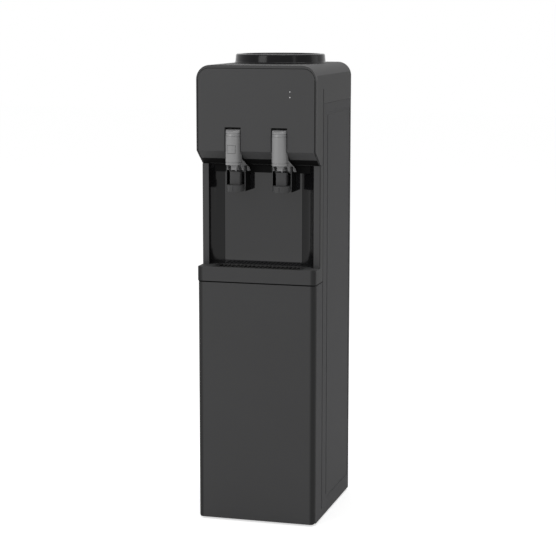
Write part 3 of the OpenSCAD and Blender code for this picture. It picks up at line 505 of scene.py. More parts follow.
# Sheet with its front edge folded in, a pressed groove round its field and another along the front joint
def sidePanel(side):
    p = sideSheet
    front, low, top = c["edgeRadius"] + c["seam"], c["low"] + c["seam"], c["sideTop"] - c["seam"]
    back, step, mid = c["deep"] - c["seam"], c["joint"] + c["seam"], c["lowerTop"]
    outline = [(front, low), (back, low), (back, top), (step, top), (step, mid), (front, mid)]
    flat = c["half"] - c["sheet"]
    skin = prism(outline, "x", side * flat, side * c["half"])
    weld(skin, sideBrick(side, flat, c["half"] - p["fold"], (front, low), (front + c["sheet"], mid)))
    half = p["grooveWide"] / 2
    near, bottom, far, high = p["field"]
    floor, out = side * (c["half"] - p["groove"]), side * (c["half"] + over)
    outer = rect((near - half, bottom - half), (far + half, high + half), p["outerBend"])
    core = rect((near + half, bottom + half), (far - half, high - half), p["innerBend"])
    ring = cut(prism(outer, "x", floor, out), prism(core, "x", floor - side * 2 * over, out + side * over))
    line = rect((c["joint"] - half, p["lineLow"]), (c["joint"] + half, c["sideTop"] + p["linePast"]))
    return soften(cut(skin, ring, prism(line, "x", floor, out)), p["edge"], 2)


lowerFront = {"deep": 12, "bend": 11.7, "innerBend": 9.2, "footBend": 6, "toolDeep": 14, "edge": 0.8,
              "paintedShadeRim": 1}


# Shallow panel with round upright edges and a rounded foot
def lowerPanel():
    p, w, low, high = lowerFront, c["half"], c["low"], c["lowerTop"]
    shell = prism(nearRounded(w, 0, p["deep"], p["bend"], 10), "z", low, high)
    trim(shell, prism(nearRounded(w, low, high, p["footBend"]), "y", -over, p["toolDeep"]))
    hollow = nearRounded(w - wall, wall, p["toolDeep"], p["innerBend"], 8)
    return soften(cut(shell, prism(hollow, "z", low + wall, high - wall)), p["edge"])


trayBand = {"bend": 6, "footIn": 1.2, "footBack": 59.8, "footLow": 521.3, "edge": 1.2, "paintedShadeFoot": 0.5,
            "well": (98.5, (7, 528.5), (54, 556)), "under": (127, (5, 519), (58.5, 526)),
            "lip": (125.4, 127.2, (12.4, 516), (59.8, 524))}


# Band under the alcove, with the tray's well and a foot rim
def traySurround():
    p, w = trayBand, c["half"]
    body = prism(nearRounded(w, 0, c["joint"], p["bend"]), "z", c["bandLow"], c["bandTop"])
    foot = nearRounded(w - p["footIn"], p["footIn"], p["footBack"], p["bend"])
    weld(body, prism(foot, "z", p["footLow"], c["bandLow"] + over))
    cut(body, midBrick(*p["well"]), midBrick(*p["under"]))
    lips = [sideBrick(side, *p["lip"]) for side in (-1, 1)]     # they keep light out of the side sheets' gap
    return soften(weld(body, *lips), p["edge"], 4)


cove = {"splashHalf": 86, "splashDeep": 57, "plateBack": 59.5, "postDeep": 38, "postWide": 14,
        "outerBend": 2.2, "innerBend": 1.2, "lipWide": 3, "lipDeep": 4, "arcFrom": 1.5,
        "arcSteps": 24, "backSteps": 20}
run = c["half"] - cove["postWide"] - cove["splashHalf"]
fall = cove["splashDeep"] - cove["postDeep"]
cove["radius"] = (run * run + fall * fall) / (2 * fall)


# Post and coved wall of one side of the alcove, in plan
def postOutline(side):
    p, s, w, r = cove, cove["splashHalf"], c["half"], cove["radius"]
    joint, middle, postIn, back = c["joint"], p["splashDeep"] - r, w - p["postWide"], p["postDeep"] + wall
    end = math.degrees(math.atan2(p["postDeep"] - middle, run))
    inner = math.degrees(math.asin((back - middle) / (r + wall)))
    last = math.degrees(math.acos(wall / (r + wall)))
    post = [(w, joint), (w, p["postDeep"], p["outerBend"]), (postIn, p["postDeep"], p["innerBend"]),
            (postIn - p["lipWide"], p["postDeep"] + p["lipDeep"])]
    outline = rounded(post)[:-1]
    outline += [q for q in arcPoints(s, middle, r, end, 90, p["arcSteps"]) if q[0] < postIn - p["arcFrom"]]
    outline += [(s, p["plateBack"]), (s - wall, p["plateBack"]), (s - wall, joint), (s + wall, joint)]
    outline += arcPoints(s, middle, r + wall, last, inner, p["backSteps"])
    outline += [(w - wall, back), (w - wall, joint)]
    return [(side * a, b) for a, b in outline]


def alcoveWalls():
    top = c["slopeLow"] - c["seam"]
    return soften(gather([prism(postOutline(side), "z", c["bandTop"], top) for side in (-1, 1)]), 0)


splash = {"high": 786, "hole": (9.25, -4, 4), "holeAt": (58, 742), "edge": 0.4}


def splashPlate():
    p = splash
    low, high = (cove["splashDeep"], c["bandTop"]), (cove["plateBack"], p["high"])
    plate = midBrick(cove["splashHalf"] - c["seam"], low, high)
    holes = [plug(*p["hole"], (x, *p["holeAt"])) for x in tapPlaces.values()]
    return soften(cut(plate, *holes), p["edge"], 2)


barStrip = {"front": 50, "low": 753, "high": 786, "lastAngle": 88, "steps": 12, "edge": 0.7}


# Strip behind the taps, whose ends follow the coves
def tapBar():
    p, r = barStrip, cove["radius"] - c["seam"]
    middle = cove["splashDeep"] - cove["radius"]
    start = math.degrees(math.asin((p["front"] - middle) / r))
    half = arcPoints(cove["splashHalf"] - c["seam"], middle, r, start, p["lastAngle"], p["steps"])
    return soften(prism(half + [(-a, b) for a, b in reversed(half)], "z", p["low"], p["high"]), p["edge"])


fascia = {"half": 126.5, "bend": 24, "slotHalf": 17.6, "slotLow": 760, "slotDeep": 34, "slotTop": 850.8,
          "shelf": ((0, 801), (41, 771, 3), (49.7, 771), (49.7, 773.5), (42.2, 773.5), (2.5, 803.5),
                    (0, 803.5)),
          "box": ((1, 802), (36.5, 775.5), (36.5, 853), (1, 853)), "lights": ((73.6, 926), (73.6, 914.7)),
          "light": (1.25, -3, 5), "edge": 0.5}


# Tools that open the handles' pockets
def pocketTools():
    p = fascia
    return [brick((x - p["slotHalf"], -over, p["slotLow"]), (x + p["slotHalf"], p["slotDeep"], p["slotTop"]))
            for x in tapPlaces.values()]


# Upper front with its sloped underside, a box behind each handle and two holes for the lights
def frontFascia():
    p, w = fascia, fascia["half"]
    plate = prism(arch(w, c["fasciaLow"], c["fasciaTop"], p["bend"]), "y", 0, wall)
    shelf = prism(rounded(p["shelf"]), "x", -w, w)
    out = p["slotHalf"] + wall
    weld(plate, shelf, *[prism(p["box"], "x", x - out, x + out) for x in tapPlaces.values()])
    holes = [plug(*p["light"], (x, 0, z), "y", 24) for x, z in p["lights"]]
    return soften(cut(plate, *pocketTools(), *holes), p["edge"])


slopeStrip = {"sideGap": 0.5, "from": 24, "to": 39.5, "out": 0.45, "sunk": -0.3, "normal": (0.59, 0.807)}


# Black strip over the lower part of the fascia's sloped underside
def slopeInsert():
    p, w = slopeStrip, fascia["half"] - slopeStrip["sideGap"]
    slant = (c["fasciaLow"] - c["slopeLow"]) / c["slopeDeep"]
    places = [(p["from"], p["out"]), (p["to"], p["out"]), (p["to"], p["sunk"]), (p["from"], p["sunk"])]
    back, up = p["normal"]
    outline = [(y - back * out, c["fasciaLow"] - slant * y - up * out) for y, out in places]
    return soften(cut(prism(outline, "x", -w, w), *pocketTools()), 0)


headShell = {"cheeks": ((0, 801), (41, 771), (61, 771), (61, 905), (0, 905)), "roomLow": 700, "roomFront": 5,
             "openTop": 6, "openBend": 5, "openDeep": 6, "hole": (87.6, -8, 8),
             "groove": (129.3, 134.3, (58, 760), (64, 930)), "edge": 1.0}
collar = {"place": (0, 192, 980), "turns": 128,
          "profile": ((99.5, 0), (99.5, 2.2, 0.8), (98.3, 3.4, 0.6), (96.7, 20, 3.6), (87, 20, 4),
                      (37, -30, 3), (29, -30, 0.8), (29, -46), (31.5, -46), (31.5, -32.5, 1),
                      (39.5, -32.5, 2), (84.5, 15, 2), (84.5, -5), (87, -5), (87, 0))}


# Arched head with its cheeks beside the fascia and the collar's hole in its top
def headCasing():
    p, w, r, top = headShell, c["half"], c["headRadius"], c["headTop"]
    shell = prism(arch(w, c["sideTop"], top, r), "y", 0, c["deep"])
    weld(shell, prism(p["cheeks"], "x", -w, w))
    room = prism(arch(w - wall, p["roomLow"], top - wall, r - wall), "y", p["roomFront"], c["deep"] - wall)
    opening = arch(w - wall, p["roomLow"], top - p["openTop"], r - p["openBend"])
    hole = plug(*p["hole"], collar["place"], "z", 96)
    grooves = [sideBrick(side, *p["groove"]) for side in (1, -1)]
    return soften(cut(shell, room, prism(opening, "y", -over, p["openDeep"]), hole, *grooves), p["edge"], 4)


def bottleCollar():
    return soften(lathe(rounded(collar["profile"], 5), *collar["place"], "z", collar["turns"]), 0)


# Rear panel and what stands in it: the switch, the drain and the cable's bush
switch = {"x": -66, "z": 862, "wide": 27, "tall": 19, "flange": 2.5, "out": 2, "deep": 16, "bend": 2,
          "openHalf": (8, 8.25), "openFrom": 305.25, "openTo": 318, "edge": 0.4}
drain = {"place": (0, 312.3, 604), "hole": (7.25, -4, 4), "ribs": 48, "outer": 12, "inner": 11.3, "long": 6,
         "face": (9, 5.2, 6.6), "bore": (7.05, -1, 4), "edge": 0.3}
bush = {"place": (70, 312, 130), "hole": (9, -4, 4),
        "profile": ((9, -5), (9, 0), (11.5, 0, 0.5), (11.5, 2.5, 0.8), (8.6, 3.2), (8.6, 5, 1), (4.5, 5, 0.8),
                    (4.5, -5))}
rear = {"vents": 14, "ventHalf": 60, "ventLow": 372, "ventTall": 5, "pitch": 14, "toolFrom": 2, "toolTo": 4,
        "holeDeep": 311, "spacerOut": 94.4, "spacerHalf": (17, 9), "spacerBack": 324.4, "spacers": (832, 72),
        "edge": 0.5}


def rearPanel():
    p, y = rear, c["deep"] - c["sheet"]
    near, far = y - p["toolFrom"], y + p["toolTo"]
    sheet = midBrick(c["half"] - c["sheet"], (y, c["low"] + c["seam"]), (c["deep"], c["sideTop"] - c["seam"]))
    lows = [p["ventLow"] + p["pitch"] * i for i in range(p["vents"])]
    slots = [midBrick(p["ventHalf"], (near, low), (far, low + p["ventTall"])) for low in lows]
    holes = [plug(*one["hole"], (one["place"][0], p["holeDeep"], one["place"][2]), "y", 32)
             for one in (drain, bush)]
    half, tall = switch["wide"] / 2, switch["tall"] / 2
    gap = brick((switch["x"] - half, near, switch["z"] - tall), (switch["x"] + half, far, switch["z"] + tall))
    cut(sheet, *slots, *holes, gap)
    wide, high = p["spacerHalf"]
    spacers = [brick((x - wide, c["deep"], z - high), (x + wide, p["spacerBack"], z + high))
               for x in (-p["spacerOut"], p["spacerOut"]) for z in p["spacers"]]
    return soften(gather([sheet] + spacers), p["edge"], 2)


def drainCap():
    p = drain
    x, y, z = p["place"]
    ribs = []
    for k in range(p["ribs"]):
        r = p["outer"] if k % 2 else p["inner"]
        a = 2 * math.pi * k / p["ribs"]
        ribs.append((x + r * math.cos(a), z + r * math.sin(a)))
    cap = prism(ribs, "y", y, y + p["long"])
    return soften(cut(cap, plug(*p["face"], p["place"]), plug(*p["bore"], p["place"])), p["edge"], 2)


feet = {"out": 102, "deep": (40, 284),
        "profile": ((13, 4.3), (0, 4.3), (0, 0), (10.8, 0, 0.8), (13, 1.6, 0.8))}


def footPads():
    places = [(x, y) for x in (-feet["out"], feet["out"]) for y in feet["deep"]]
    return soften(gather([lathe(rounded(feet["profile"], 3), x, y, 0, "z", 48, False) for x, y in places]), 0)


def inletBush():
    return soften(lathe(rounded(bush["profile"], 4), *bush["place"], "y", 48), 0)


wholePiece = lambda *place: True
facing = {"up": 0.3, "side": 0.5}
coveFaces = {"half": 115.6, "from": 38.4}       # the coves' glossy faces lie between and behind these
shadeRimLow, shadeFootHigh = c["lowerTop"] - lowerFront["paintedShadeRim"], c["bandLow"] + trayBand["paintedShadeFoot"]
print("cabinet pieces")
seat(sidePanel(-1), "leftSide", "cabinet", "side_steel", "left_side_panel")
seat(sidePanel(1), "rightSide", "cabinet", "side_steel", "right_side_panel")
lower = seat(lowerPanel(), "lowerFront", "cabinet", "cover_plastic", "lower_front_panel")
# Painted shade: the lower panel's top faces in the gap under the band are made black
paintFaces(lower, blackPlasticAndPaintedShade, lambda x, y, z, normal: z > shadeRimLow and normal.z > facing["up"])
band = seat(traySurround(), "trayBand", "cabinet", "cover_plastic", "tray_surround")
# Painted shade: the band's foot in the gap above the lower panel is made black
paintFaces(band, blackPlasticAndPaintedShade, lambda x, y, z, normal: z < shadeFootHigh)
walls = seat(alcoveWalls(), "alcoveWalls", "cabinet", "cover_plastic", "alcove_frame")
paintFaces(walls, coveGloss, lambda x, y, z, normal: abs(x) < coveFaces["half"] and y > coveFaces["from"])
seat(splashPlate(), "splashPlate", "cabinet", "gloss_black", "back_splash")
bar = seat(tapBar(), "blackTapBar", "cabinet", "gloss_black", "tap_bar")
paintFaces(bar, blackPlasticAndPaintedShade, wholePiece)
insert = seat(slopeInsert(), "slopeInsert", "cabinet", "gloss_black")
paintFaces(insert, blackPlasticAndPaintedShade, wholePiece)
seat(frontFascia(), "upperFascia", "cabinet", "cover_plastic", "front_fascia")
seat(headCasing(), "headShell", "cabinet", "cover_plastic", "head_casing")
seat(bottleCollar(), "collarRing", "cabinet", "collar_gloss", "bottle_collar")
seat(rearPanel(), "rearSheet", "cabinet", "rear_steel", "rear_panel")
seat(drainCap(), "ribbedDrainCap", "drain_cap", "base_plastic", "drain_cap")
seat(footPads(), "footPads", "cabinet", "foot_rubber", "feet")
seat(inletBush(), "inletBush", "cabinet", "base_plastic", "cord_inlet")


# Taps: the same pieces on either side, measured from each tap's centre line
tap = {"low": 715, "nozzleTop": 729, "top": 757, "pivot": (40, 758.5), "body": (11.5, 15, 34.5, 3),
       "neck": (11.5, (33.5, 729), (57, 750)), "plate": (21.5, (53, 715), (57, 752.5)), "ears": (19.5, 21.5),
       "ear": ((22, 715), (22, 768), (24, 768), (45, 762.5), (45, 752.5), (57, 752.5), (57, 715)),
       "shank": ((9, -1), (9, 26), (4.5, 26), (4.5, -1)), "shankAt": (57, 742), "pinHole": 2.05,
       "pinReach": 30, "chamber": (7, 4, 30), "chamberDeep": 25, "spout": (3, -2, 6), "spoutDeep": 21.5,
       "edge": 0.35}


def slide(thing, x):
    thing.data.transform(Matrix.Translation((x * mm, 0, 0)))
    return thing


# Round bar across a tap, through its pivot
def pivotBar(radius, half, corners=24):
    turn = 360 / corners
    return prism(arcPoints(*tap["pivot"], radius, 0, 360 - turn, corners - 1), "x", -half, half)


def tapBody(x):
    p, joint = tap, tap["nozzleTop"]
    near, far = p["ears"]
    body = prism(nearRounded(*p["body"]), "z", joint, p["top"])
    neck, plate = midBrick(*p["neck"]), midBrick(*p["plate"])
    ears = [prism(p["ear"], "x", side * near, side * far) for side in (-1, 1)]
    shank = lathe(p["shank"], 0, *p["shankAt"], "y", 40)
    weld(body, neck, plate, *ears)
    chamber = plug(*p["chamber"], (0, p["chamberDeep"], joint), "z", 40)
    spout = plug(*p["spout"], (0, p["spoutDeep"], joint), "z", 24)
    cut(body, chamber, spout, pivotBar(p["pinHole"], p["pinReach"]))
    return slide(soften(gather([body, shank]), p["edge"]), x)


nozzle = {"deep": 20, "skirt": ((16, 0), (18, 0, 0.9), (18, 14, 1.0), (0, 14), (0, 11.5), (16, 11.5, 1.5)),
          "spout": ((3, 0.2), (5, 0), (5, 13), (3, 13)), "notch": (1.1, (1, 713), (3.1, 726.5))}


# Round skirt with a notch in front, and the spout inside it
def tapNozzle(x):
    skirt = lathe(rounded(nozzle["skirt"], 4), 0, nozzle["deep"], tap["low"], "z", 72, False)
    notch = midBrick(*nozzle["notch"])
    spout = lathe(nozzle["spout"], 0, tap["spoutDeep"], tap["low"], "z", 32)
    return slide(soften(gather([cut(skirt, notch), spout]), 0), x)


handle = {"low": 772, "top": 846, "lean": 1.4, "front": -12, "back": 14, "radius": 16, "crown": 16,
          "foot": 1.8, "leastDeep": 0.6, "lines": (838, 833, 777.5), "lineDeep": 1.2, "lineTall": 1.1,
          "lockHalf": 8.5, "lockLow": 797, "lockTop": 813.5, "lockSunk": 0.4, "gap": 0.5, "edge": 0.35}


# Outline of the upright in plan: round in front, flat behind, its front flattened by a shift
def uprightOutline(grow=0.0, shift=0.0):
    p, r, back = handle, handle["radius"] + grow, handle["back"] + max(grow, 0)
    start = p["front"] + p["radius"]
    deep = max(p["leastDeep"], r - shift)
    arc = [(x, start + (y - start) * deep / r) for x, y in arcPoints(0, start, r, 180, 360, 32)]
    return arc + [(r, back), (-r, back)]


# The upright: straight from its rounded foot, with its front sweeping back under the level top
def uprightShell():
    low, top, crown, foot = [handle[key] for key in ("low", "top", "crown", "foot")]
    quarter = math.pi / 2
    steps = [(low + foot - foot * math.cos(a), foot - foot * math.sin(a)) for a in (0, 0.5, 1.0, quarter)]
    steps += [(top - crown + crown * math.sin(a), crown - crown * math.cos(a))
              for a in [quarter * k / 12 for k in range(13)]]
    rings = [[(x, y, z) for x, y in uprightOutline(0, shift)] for z, shift in steps]
    flat = handle["front"] + crown
    slope = handle["lean"] / (handle["back"] - flat)
    rings[-1] = [(x, y, z + slope * max(0, y - flat)) for x, y, z in rings[-1]]
    return loft(rings)


# Hood from the upright back to the pivot: its outlines from the side, from above and from the front
hood = {"half": 25.5,
        "side": ((7, 772), (7, 783), (15, 783), (47, 756.5), (34, 757.5), (34.5, 758.5), (20, 759.5)),
        "face": ((-25.5, 756.5), (25.5, 756.5), (25.5, 773.5), (16, 783), (-16, 783), (-25.5, 773.5)),
        "plan": ((-16, -12), (16, -12), (16, 14), (25.5, 38), (25.5, 57), (-25.5, 57), (-25.5, 38),
                 (-16, 14)),
        "hollowPlan": ((7.5, -1), (15, -1), (15, 14), (16.7, 33.75), (7.5, 33.75)),
        "faceDeep": (0, 60), "planTall": (750, 790), "hollowTall": (755.5, 790), "hollowHalf": 20,
        "hollowSide": ((0, 754), (0, 772), (7, 772), (14, 779.5), (34.75, 762.8), (34.75, 754)),
        "earRoom": ((0, 715), (0, 770), (26, 770), (47, 764.5), (156, 762.5), (156, 715)), "earRoomTo": 22.3,
        "hub": 5, "hubHalf": 18.7, "pin": 2, "tongue": (6, (8, 761), (13, 773)),
        "stem": (5.5, (18.5, 750), (30.5, 766.2)), "fork": (2.6, 6.5, (23, 759), (27, 762))}


def handleHood():
    p, half = hood, hood["half"]
    shell = prism(p["side"], "x", -half, half)
    trim(shell, prism(p["face"], "y", *p["faceDeep"]), prism(p["plan"], "z", *p["planTall"]))
    for side in (-1, 1):        # hollow on either side of the middle rib
        hollow = prism([(side * x, y) for x, y in p["hollowPlan"]], "z", *p["hollowTall"])
        cut(shell, trim(hollow, prism(p["hollowSide"], "x", -p["hollowHalf"], p["hollowHalf"])))
    return shell


# Grooves across the upright's front, each following the sweep at its own height
def grooveRings():
    crown, half = handle["crown"], handle["lineTall"] / 2
    rings = []
    for z in handle["lines"]:
        drop = max(0.0, z - (handle["top"] - crown))
        shift = crown - math.sqrt(crown ** 2 - drop ** 2)
        core = prism(uprightOutline(-handle["lineDeep"], shift), "z", z - 2 * over, z + 2 * over)
        rings.append(cut(prism(uprightOutline(3 * over), "z", z - half, z + half), core))
    return rings


def tapHandle(x, locked):
    p, hub, gap = hood, hood["hubHalf"], handle["gap"]
    upright = uprightShell()
    tongue = midBrick(*p["tongue"])
    weld(upright, handleHood(), pivotBar(p["hub"], hub, 36), tongue)
    ears = [prism(p["earRoom"], "x", side * hub, side * p["earRoomTo"]) for side in (-1, 1)]
    cut(upright, *ears, pivotBar(p["pin"], tap["pinReach"]), midBrick(*p["stem"]))
    cut(upright, *grooveRings())
    if locked:
        room = (handle["front"] - 2 * over, handle["lockLow"] - gap), (0, handle["lockTop"] + gap)
        cut(upright, midBrick(handle["lockHalf"] + gap, *room))
    forks = [sideBrick(side, *p["fork"]) for side in (-1, 1)]
    return slide(soften(gather([upright] + forks), handle["edge"]), x)


button = {"back": -3, "steps": 14, "edge": 0.5}


def lockButton():
    r, half = handle["radius"], handle["lockHalf"]
    middle = handle["front"] + r - handle["lockSunk"]
    reach = math.degrees(math.asin(half / r))
    front = arcPoints(0, middle, r, 270 - reach, 270 + reach, button["steps"])
    outline = front + [(half, button["back"]), (-half, button["back"])]
    piece = prism(outline, "z", handle["lockLow"], handle["lockTop"])
    return slide(soften(piece, button["edge"]), tapPlaces["hot"])


spring = {"wire": 1, "turns": 6, "steps": 24, "sides": 10, "lift": 15 * math.radians(8)}


# Return spring as one wound wire
def returnSpring(name):
    points = [corner.co / mm for corner in nodes[name + "_spring"].data.vertices]
    low, high = [Vector([pick(p[k] for p in points) for k in range(3)]) for pick in (min, max)]
    middle, wire, steps = (low + high) / 2, spring["wire"] / 2, spring["turns"] * spring["steps"]
    wound, rise = (high.x - low.x) / 2 - wire, (high.z - low.z - spring["wire"]) / steps
    rings = []
    for i in range(steps + 1):
        turn = math.tau * i / spring["steps"]
        ring = []
        for k in range(spring["sides"]):
            around = math.tau * k / spring["sides"]
            reach = wound + wire * math.cos(around)
            ring.append((middle.x + reach * math.cos(turn), middle.y + halfDepth + reach * math.sin(turn),
                         low.z + wire + rise * i + wire * math.sin(around)))
        rings.append(ring)
    slot = slotOf[name + "_spring"]
    piece = seat(soften(loft(rings), 0), name + "ReturnSpring", "cabinet", slot, name + "_spring")
    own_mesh(piece)


tapShadedFaces = {"sideFrom": 16, "backFrom": 52}      # the body's flanks and back plate get painted shade: black
print("tap pieces")
for name, x in tapPlaces.items():
    returnSpring(name)
    body = seat(tapBody(x), name + "TapBody", "cabinet", "tap_plastic", name + "_tap_body")
    # Painted shade: the tap body's sideways faces and back plate are made black
    paintFaces(body, blackPlasticAndPaintedShade, lambda px, py, pz, normal: abs(px - x) > tapShadedFaces["sideFrom"]
               and (abs(normal.x) > facing["side"] or py > tapShadedFaces["backFrom"]))
    seat(tapNozzle(x), name + "Nozzle", "cabinet", "tap_plastic", name + "_nozzle")
    hand = name + "_handle"
    seat(tapHandle(x, name == "hot"), name + "PressHandle", hand, "handle_plastic", hand)
seat(lockButton(), "childLockButton", "hot_lock", "handle_plastic", "lock_button")


tray = {"half": 98, "front": 7.5, "back": 53.5, "low": 529, "top": 551, "grilleTop": 554, "bend": 2,
        "innerBend": 3, "edge": 0.5}


def dripTray():
    t, half = tray, tray["half"]
    outer = prism(rect((-half, t["front"]), (half, t["back"]), t["bend"]), "z", t["low"], t["top"])
    room = rect((-half + wall, t["front"] + wall), (half - wall, t["back"] - wall), t["innerBend"])
    return soften(cut(outer, prism(room, "z", t["low"] + wall, t["top"] + 3 * over)), t["edge"])


# Geometry Nodes tree with named sizes, which ends in one plain mesh
class Recipe(NodeBoard):
    def __init__(self, name, sizes):
        super().__init__(bpy.data.node_groups.new(name, "GeometryNodeTree"))
        face = self.tree.interface
        face.new_socket("Geometry", in_out="INPUT", socket_type="NodeSocketGeometry")
        face.new_socket("Geometry", in_out="OUTPUT", socket_type="NodeSocketGeometry")
        kinds = {int: "NodeSocketInt", float: "NodeSocketFloat", tuple: "NodeSocketVector"}
        self.keys = {}
        for label, value in sizes.items():
            socket = face.new_socket(label, in_out="INPUT", socket_type=kinds[type(value)])
            self.keys[label] = (socket.identifier, value)
        entry = self.tree.nodes.new("NodeGroupInput")
        self.given = Wire(self, entry.outputs[0])
        self.size = {label: Wire(self, entry.outputs[label]) for label in sizes}

    # One shape put at every point, turned by three angles in degrees
    def repeat(self, points, shape, turn):
        angles = tuple(math.radians(angle) for angle in turn)
        return self.add("GeometryNodeInstanceOnPoints", {},
                        {"Points": points, "Instance": shape, "Rotation": angles})

    # Row of bars from the sizes Count, Start, Step, Radius, Length and Flat
    def barRow(self, corners, turn):
        size = self.size
        line = self.add("GeometryNodeMeshLine", {"mode": "OFFSET"},
                        {"Count": size["Count"], "Start Location": size["Start"], "Offset": size["Step"]})
        bar = self.add("GeometryNodeMeshCylinder", {},
                       {"Vertices": corners, "Radius": size["Radius"], "Depth": size["Length"]})
        flat = self.add("GeometryNodeTransform", {}, {"Geometry": bar, "Scale": size["Flat"]})
        return self.repeat(line, flat, turn)

    # Runs the recipe on a shape and keeps the result as a plain mesh
    def make(self, thing, result, slot):
        real = self.add("GeometryNodeRealizeInstances", {}, {0: result})
        painted = self.add("GeometryNodeSetMaterial", {}, {"Geometry": real, "Material": finishes[slot]})
        end = self.tree.nodes.new("NodeGroupOutput")
        self.tree.links.new(painted.socket, end.inputs[0])
        step = thing.modifiers.new("recipe", "NODES")
        step.node_group = self.tree
        for identifier, value in self.keys.values():
            step[identifier] = value
        thing.update_tag()
        return applyModifiers(thing)


grille = {"openHalf": 87.75, "openFront": 12.5, "openBack": 48.5, "openBend": 1, "bars": 19, "pitch": 9,
          "barAt": (30.5, 552.4), "barRadius": 2.25, "barThick": 3, "barLong": 37, "barCorners": 20}


# Rim with its bars laid in a row
def dripGrille():
    t, p, half = tray, grille, tray["half"]
    rim = prism(rect((-half, t["front"]), (half, t["back"]), t["bend"]), "z", t["top"], t["grilleTop"])
    opening = rect((-p["openHalf"], p["openFront"]), (p["openHalf"], p["openBack"]), p["openBend"])
    cut(rim, prism(opening, "z", t["top"] - 2 * over, t["grilleTop"] + 2 * over))
    soften(rim, t["edge"])
    first = spot(-p["pitch"] * (p["bars"] - 1) / 2, *p["barAt"])
    r = Recipe("grilleBars", {"Count": p["bars"], "Start": tuple(first), "Step": (p["pitch"] * mm, 0.0, 0.0),
                              "Radius": p["barRadius"] * mm, "Length": p["barLong"] * mm,
                              "Flat": (1.0, p["barThick"] / (2 * p["barRadius"]), 1.0)})
    bars = r.barRow(p["barCorners"], (90, 0, 0))
    return r.make(rim, r.add("GeometryNodeJoinGeometry", {}, {0: [r.given, bars]}), "base_plastic")


screw = {"out": 116, "heights": (22, 450, 872), "radius": 3.5, "rise": 1.6, "crown": 2.4,
         "recess": (3.6, 0.8, 1.6), "turned": 20, "corners": 32}


# Pan-head screws with a cross recess, at the rear panel's edges
def caseScrews():
    p = screw
    mesh = bpy.data.meshes.new("screwPlaces")
    mesh.from_pydata([spot(x, c["deep"], z) for x in (-p["out"], p["out"]) for z in p["heights"]], [], [])
    r = Recipe("panScrews", {"Radius": p["radius"] * mm, "Rise": p["rise"] * mm, "Crown": p["crown"] * mm,
                             "Recess": tuple(length * mm for length in p["recess"])})
    cone = {"Vertices": p["corners"], "Side Segments": 1, "Depth": r.size["Rise"],
            "Radius Top": r.size["Crown"], "Radius Bottom": r.size["Radius"]}
    head = r.add("GeometryNodeMeshCone", {}, cone)
    slot = r.add("GeometryNodeMeshCube", {}, {"Size": r.size["Recess"]})
    cross = [r.add("GeometryNodeTransform", {}, {"Geometry": slot, "Translation": (0, 0, p["rise"] * mm),
                                                 "Rotation": (0, 0, math.radians(angle))})
             for angle in (p["turned"], p["turned"] + 90)]
    carved = r.add("GeometryNodeMeshBoolean", {"operation": "DIFFERENCE"}, {0: head, 1: cross})
    return r.make(linked("screwPlaces", mesh), r.repeat(r.given, carved, (-90, 0, 0)), "screw_steel")


ventRoll = {"at": (311.6, 377.6), "radius": 1.5, "long": 122, "corners": 16,
            "seed": ((-1, 310.9, 480), (1, 311.4, 481))}


# Rolled upper edge of each vent
def ventEdges():
    p = ventRoll
    seed = brick(*p["seed"])    # only carries the recipe, and isn't in its result
    r = Recipe("rolledVentEdges", {"Count": rear["vents"], "Start": tuple(spot(0, *p["at"])),
                                   "Step": (0.0, 0.0, rear["pitch"] * mm), "Radius": p["radius"] * mm,
                                   "Length": p["long"] * mm, "Flat": (1.0, 1.0, 1.0)})
    return r.make(seed, r.barRow(p["corners"], (0, 90, 0)), "rear_steel")


def switchHousing():
    s, back = switch, c["deep"]
    x, z, w, h, grow = s["x"], s["z"], s["wide"] / 2, s["tall"] / 2, s["flange"]
    rim = rect((x - w - grow, z - h - grow), (x + w + grow, z + h + grow), s["bend"])
    flange = prism(rim, "y", back, back + s["out"])
    weld(flange, brick((x - w, back - s["deep"], z - h), (x + w, back + over / 2, z + h)))
    half, tall = s["openHalf"]
    opening = brick((x - half, s["openFrom"], z - tall), (x + half, s["openTo"], z + tall))
    return soften(cut(flange, opening), s["edge"])


keys = {"deep": 309, "radius": 7.75, "half": 7.5, "nearTo": 6, "farTo": -2, "press": 7, "middle": 6.045,
        "edge": 0.5}


# Rocker with its two pressing faces, which meet in a low ridge
def rocker():
    p, y, z, r = keys, keys["deep"], switch["z"], keys["radius"]
    top = math.degrees(math.acos(p["nearTo"] / r)) + p["press"]
    back = math.degrees(math.acos(p["farTo"] / r))
    upper = arcPoints(y, z, r, top, back, 10)
    lower = arcPoints(y, z, r, -back, -top, 10)
    outline = upper + lower + [(y + p["middle"], z)]
    return soften(prism(outline, "x", switch["x"] - p["half"], switch["x"] + p["half"]), p["edge"])


print("tray, screws, vents and switch")
seat(dripTray(), "dripTray", "drip_tray", "base_plastic", "drip_tray")
seat(dripGrille(), "dripGrille", "drip_grille", "base_plastic", "drip_grille")
seat(caseScrews(), "caseScrews", "cabinet", "screw_steel", "case_screws")
seat(ventEdges(), "rolledVentEdges", "cabinet", "rear_steel")
seat(switchHousing(), "switchHousing", "cabinet", "base_plastic", "switch_housing")
seat(rocker(), "powerRocker", "switch_rocker", "rocker_red", "switch_rocker")


# Studio: pale floor that keeps the shadow, soft lamps, white surroundings for the camera and for reflections
studio = {"floorSize": 30.0, "floorTone": 0.8, "grain": (40, 2, 0.5), "patch": 0.98, "glow": 0.6,
          "ambient": 0.5, "backdrop": 1.0}


# 1 for the rays that see the background: from the camera, and by way of gloss or clear plastic
def whiteRays(board):
    return sum(board.add("ShaderNodeLightPath", out=kind) for kind in (0, 3, 6))


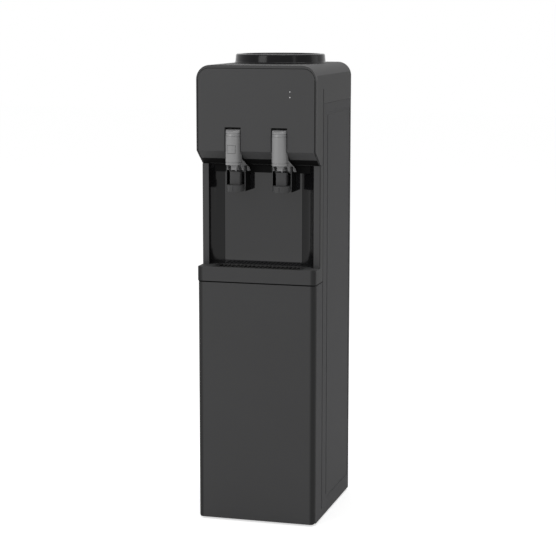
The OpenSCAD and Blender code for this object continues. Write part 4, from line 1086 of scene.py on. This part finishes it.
def makeFloor():
    bpy.ops.mesh.primitive_plane_add(size=studio["floorSize"])
    floor = bpy.context.object
    floor.name = "studioFloor"
    f = Finish("floorPaper")
    seen = whiteRays(f)
    tone = [studio["floorTone"]] * 3
    shade = f.blend(f.noise(*studio["grain"]), shaded(tone, studio["patch"]), tone)
    paper = f.add("ShaderNodeBsdfDiffuse", {}, {"Color": shade})
    glow = f.add("ShaderNodeEmission", {}, {"Strength": studio["glow"]})
    lit = f.add("ShaderNodeAddShader", {}, {0: paper, 1: glow})
    floor.data.materials.append(f.surface(f.add("ShaderNodeMixShader", {}, {0: seen, 1: paper, 2: lit})))


def makeWorld():
    world = bpy.data.worlds.new("studioWorld")
    bpy.context.scene.world = world
    world.use_nodes = True
    world.node_tree.nodes.clear()
    sky = NodeBoard(world.node_tree)
    soft, white = [sky.add("ShaderNodeBackground", {}, {"Color": (1, 1, 1, 1), "Strength": studio[strength]})
                   for strength in ("ambient", "backdrop")]
    mixed = sky.add("ShaderNodeMixShader", {}, {0: whiteRays(sky), 1: soft, 2: white})
    sky.add("ShaderNodeOutputWorld", {}, {"Surface": mixed})


# Soft lamps: place, target, size and watts
lamps = {
    "keyLamp": ((-1.6, -2.6, 2.2), (0, 0, 0.6), (1.2, 2.0), 39),
    "sideLamp": ((2.6, 1.2, 1.5), (0, 0, 0.5), (1.2, 2.0), 9),
    "rimLamp": ((2.4, -1.9, 1.4), (0, 0, 0.7), (0.35, 2.0), 4),
    "topLamp": ((0.2, 0.3, 3.0), (0, 0, 1.0), (1.6, 1.6), 20),
}


def addLamp(name, place, target, size, watts):
    lamp = bpy.data.lights.new(name, "AREA")
    lamp.shape = "RECTANGLE"
    lamp.size, lamp.size_y = size
    lamp.energy = watts
    thing = linked(name, lamp)
    thing.location = place
    thing.rotation_euler = (Vector(target) - Vector(place)).to_track_quat("-Z", "Y").to_euler()


# Camera at the photograph's viewing angle
cameraView = {"place": (1.0047, -3.5712, 1.0887), "yaw": 15.64, "pitch": -8.82, "roll": 0.057,
              "focal": 1706.1, "imageWidth": 556, "sensor": 36.0, "farthest": 60}


def makeCamera():
    view = cameraView
    data = bpy.data.cameras.new("photoCamera")
    data.sensor_fit = "HORIZONTAL"
    data.sensor_width = view["sensor"]
    data.lens = view["focal"] * view["sensor"] / view["imageWidth"]
    data.clip_end = view["farthest"]
    camera = linked("photoCamera", data)
    camera.location = view["place"]
    angles = ((view["yaw"], "Z"), (90 + view["pitch"], "X"), (view["roll"], "Z"))
    yaw, pitch, roll = [Matrix.Rotation(math.radians(angle), 4, axis) for angle, axis in angles]
    camera.rotation_euler = (yaw @ pitch @ roll).to_euler()
    bpy.context.scene.camera = camera


makeFloor()
makeWorld()
for lampName, settings in lamps.items():
    addLamp(lampName, *settings)
makeCamera()
bpy.context.scene.view_settings.view_transform = "Standard"
print("studio and camera ready")
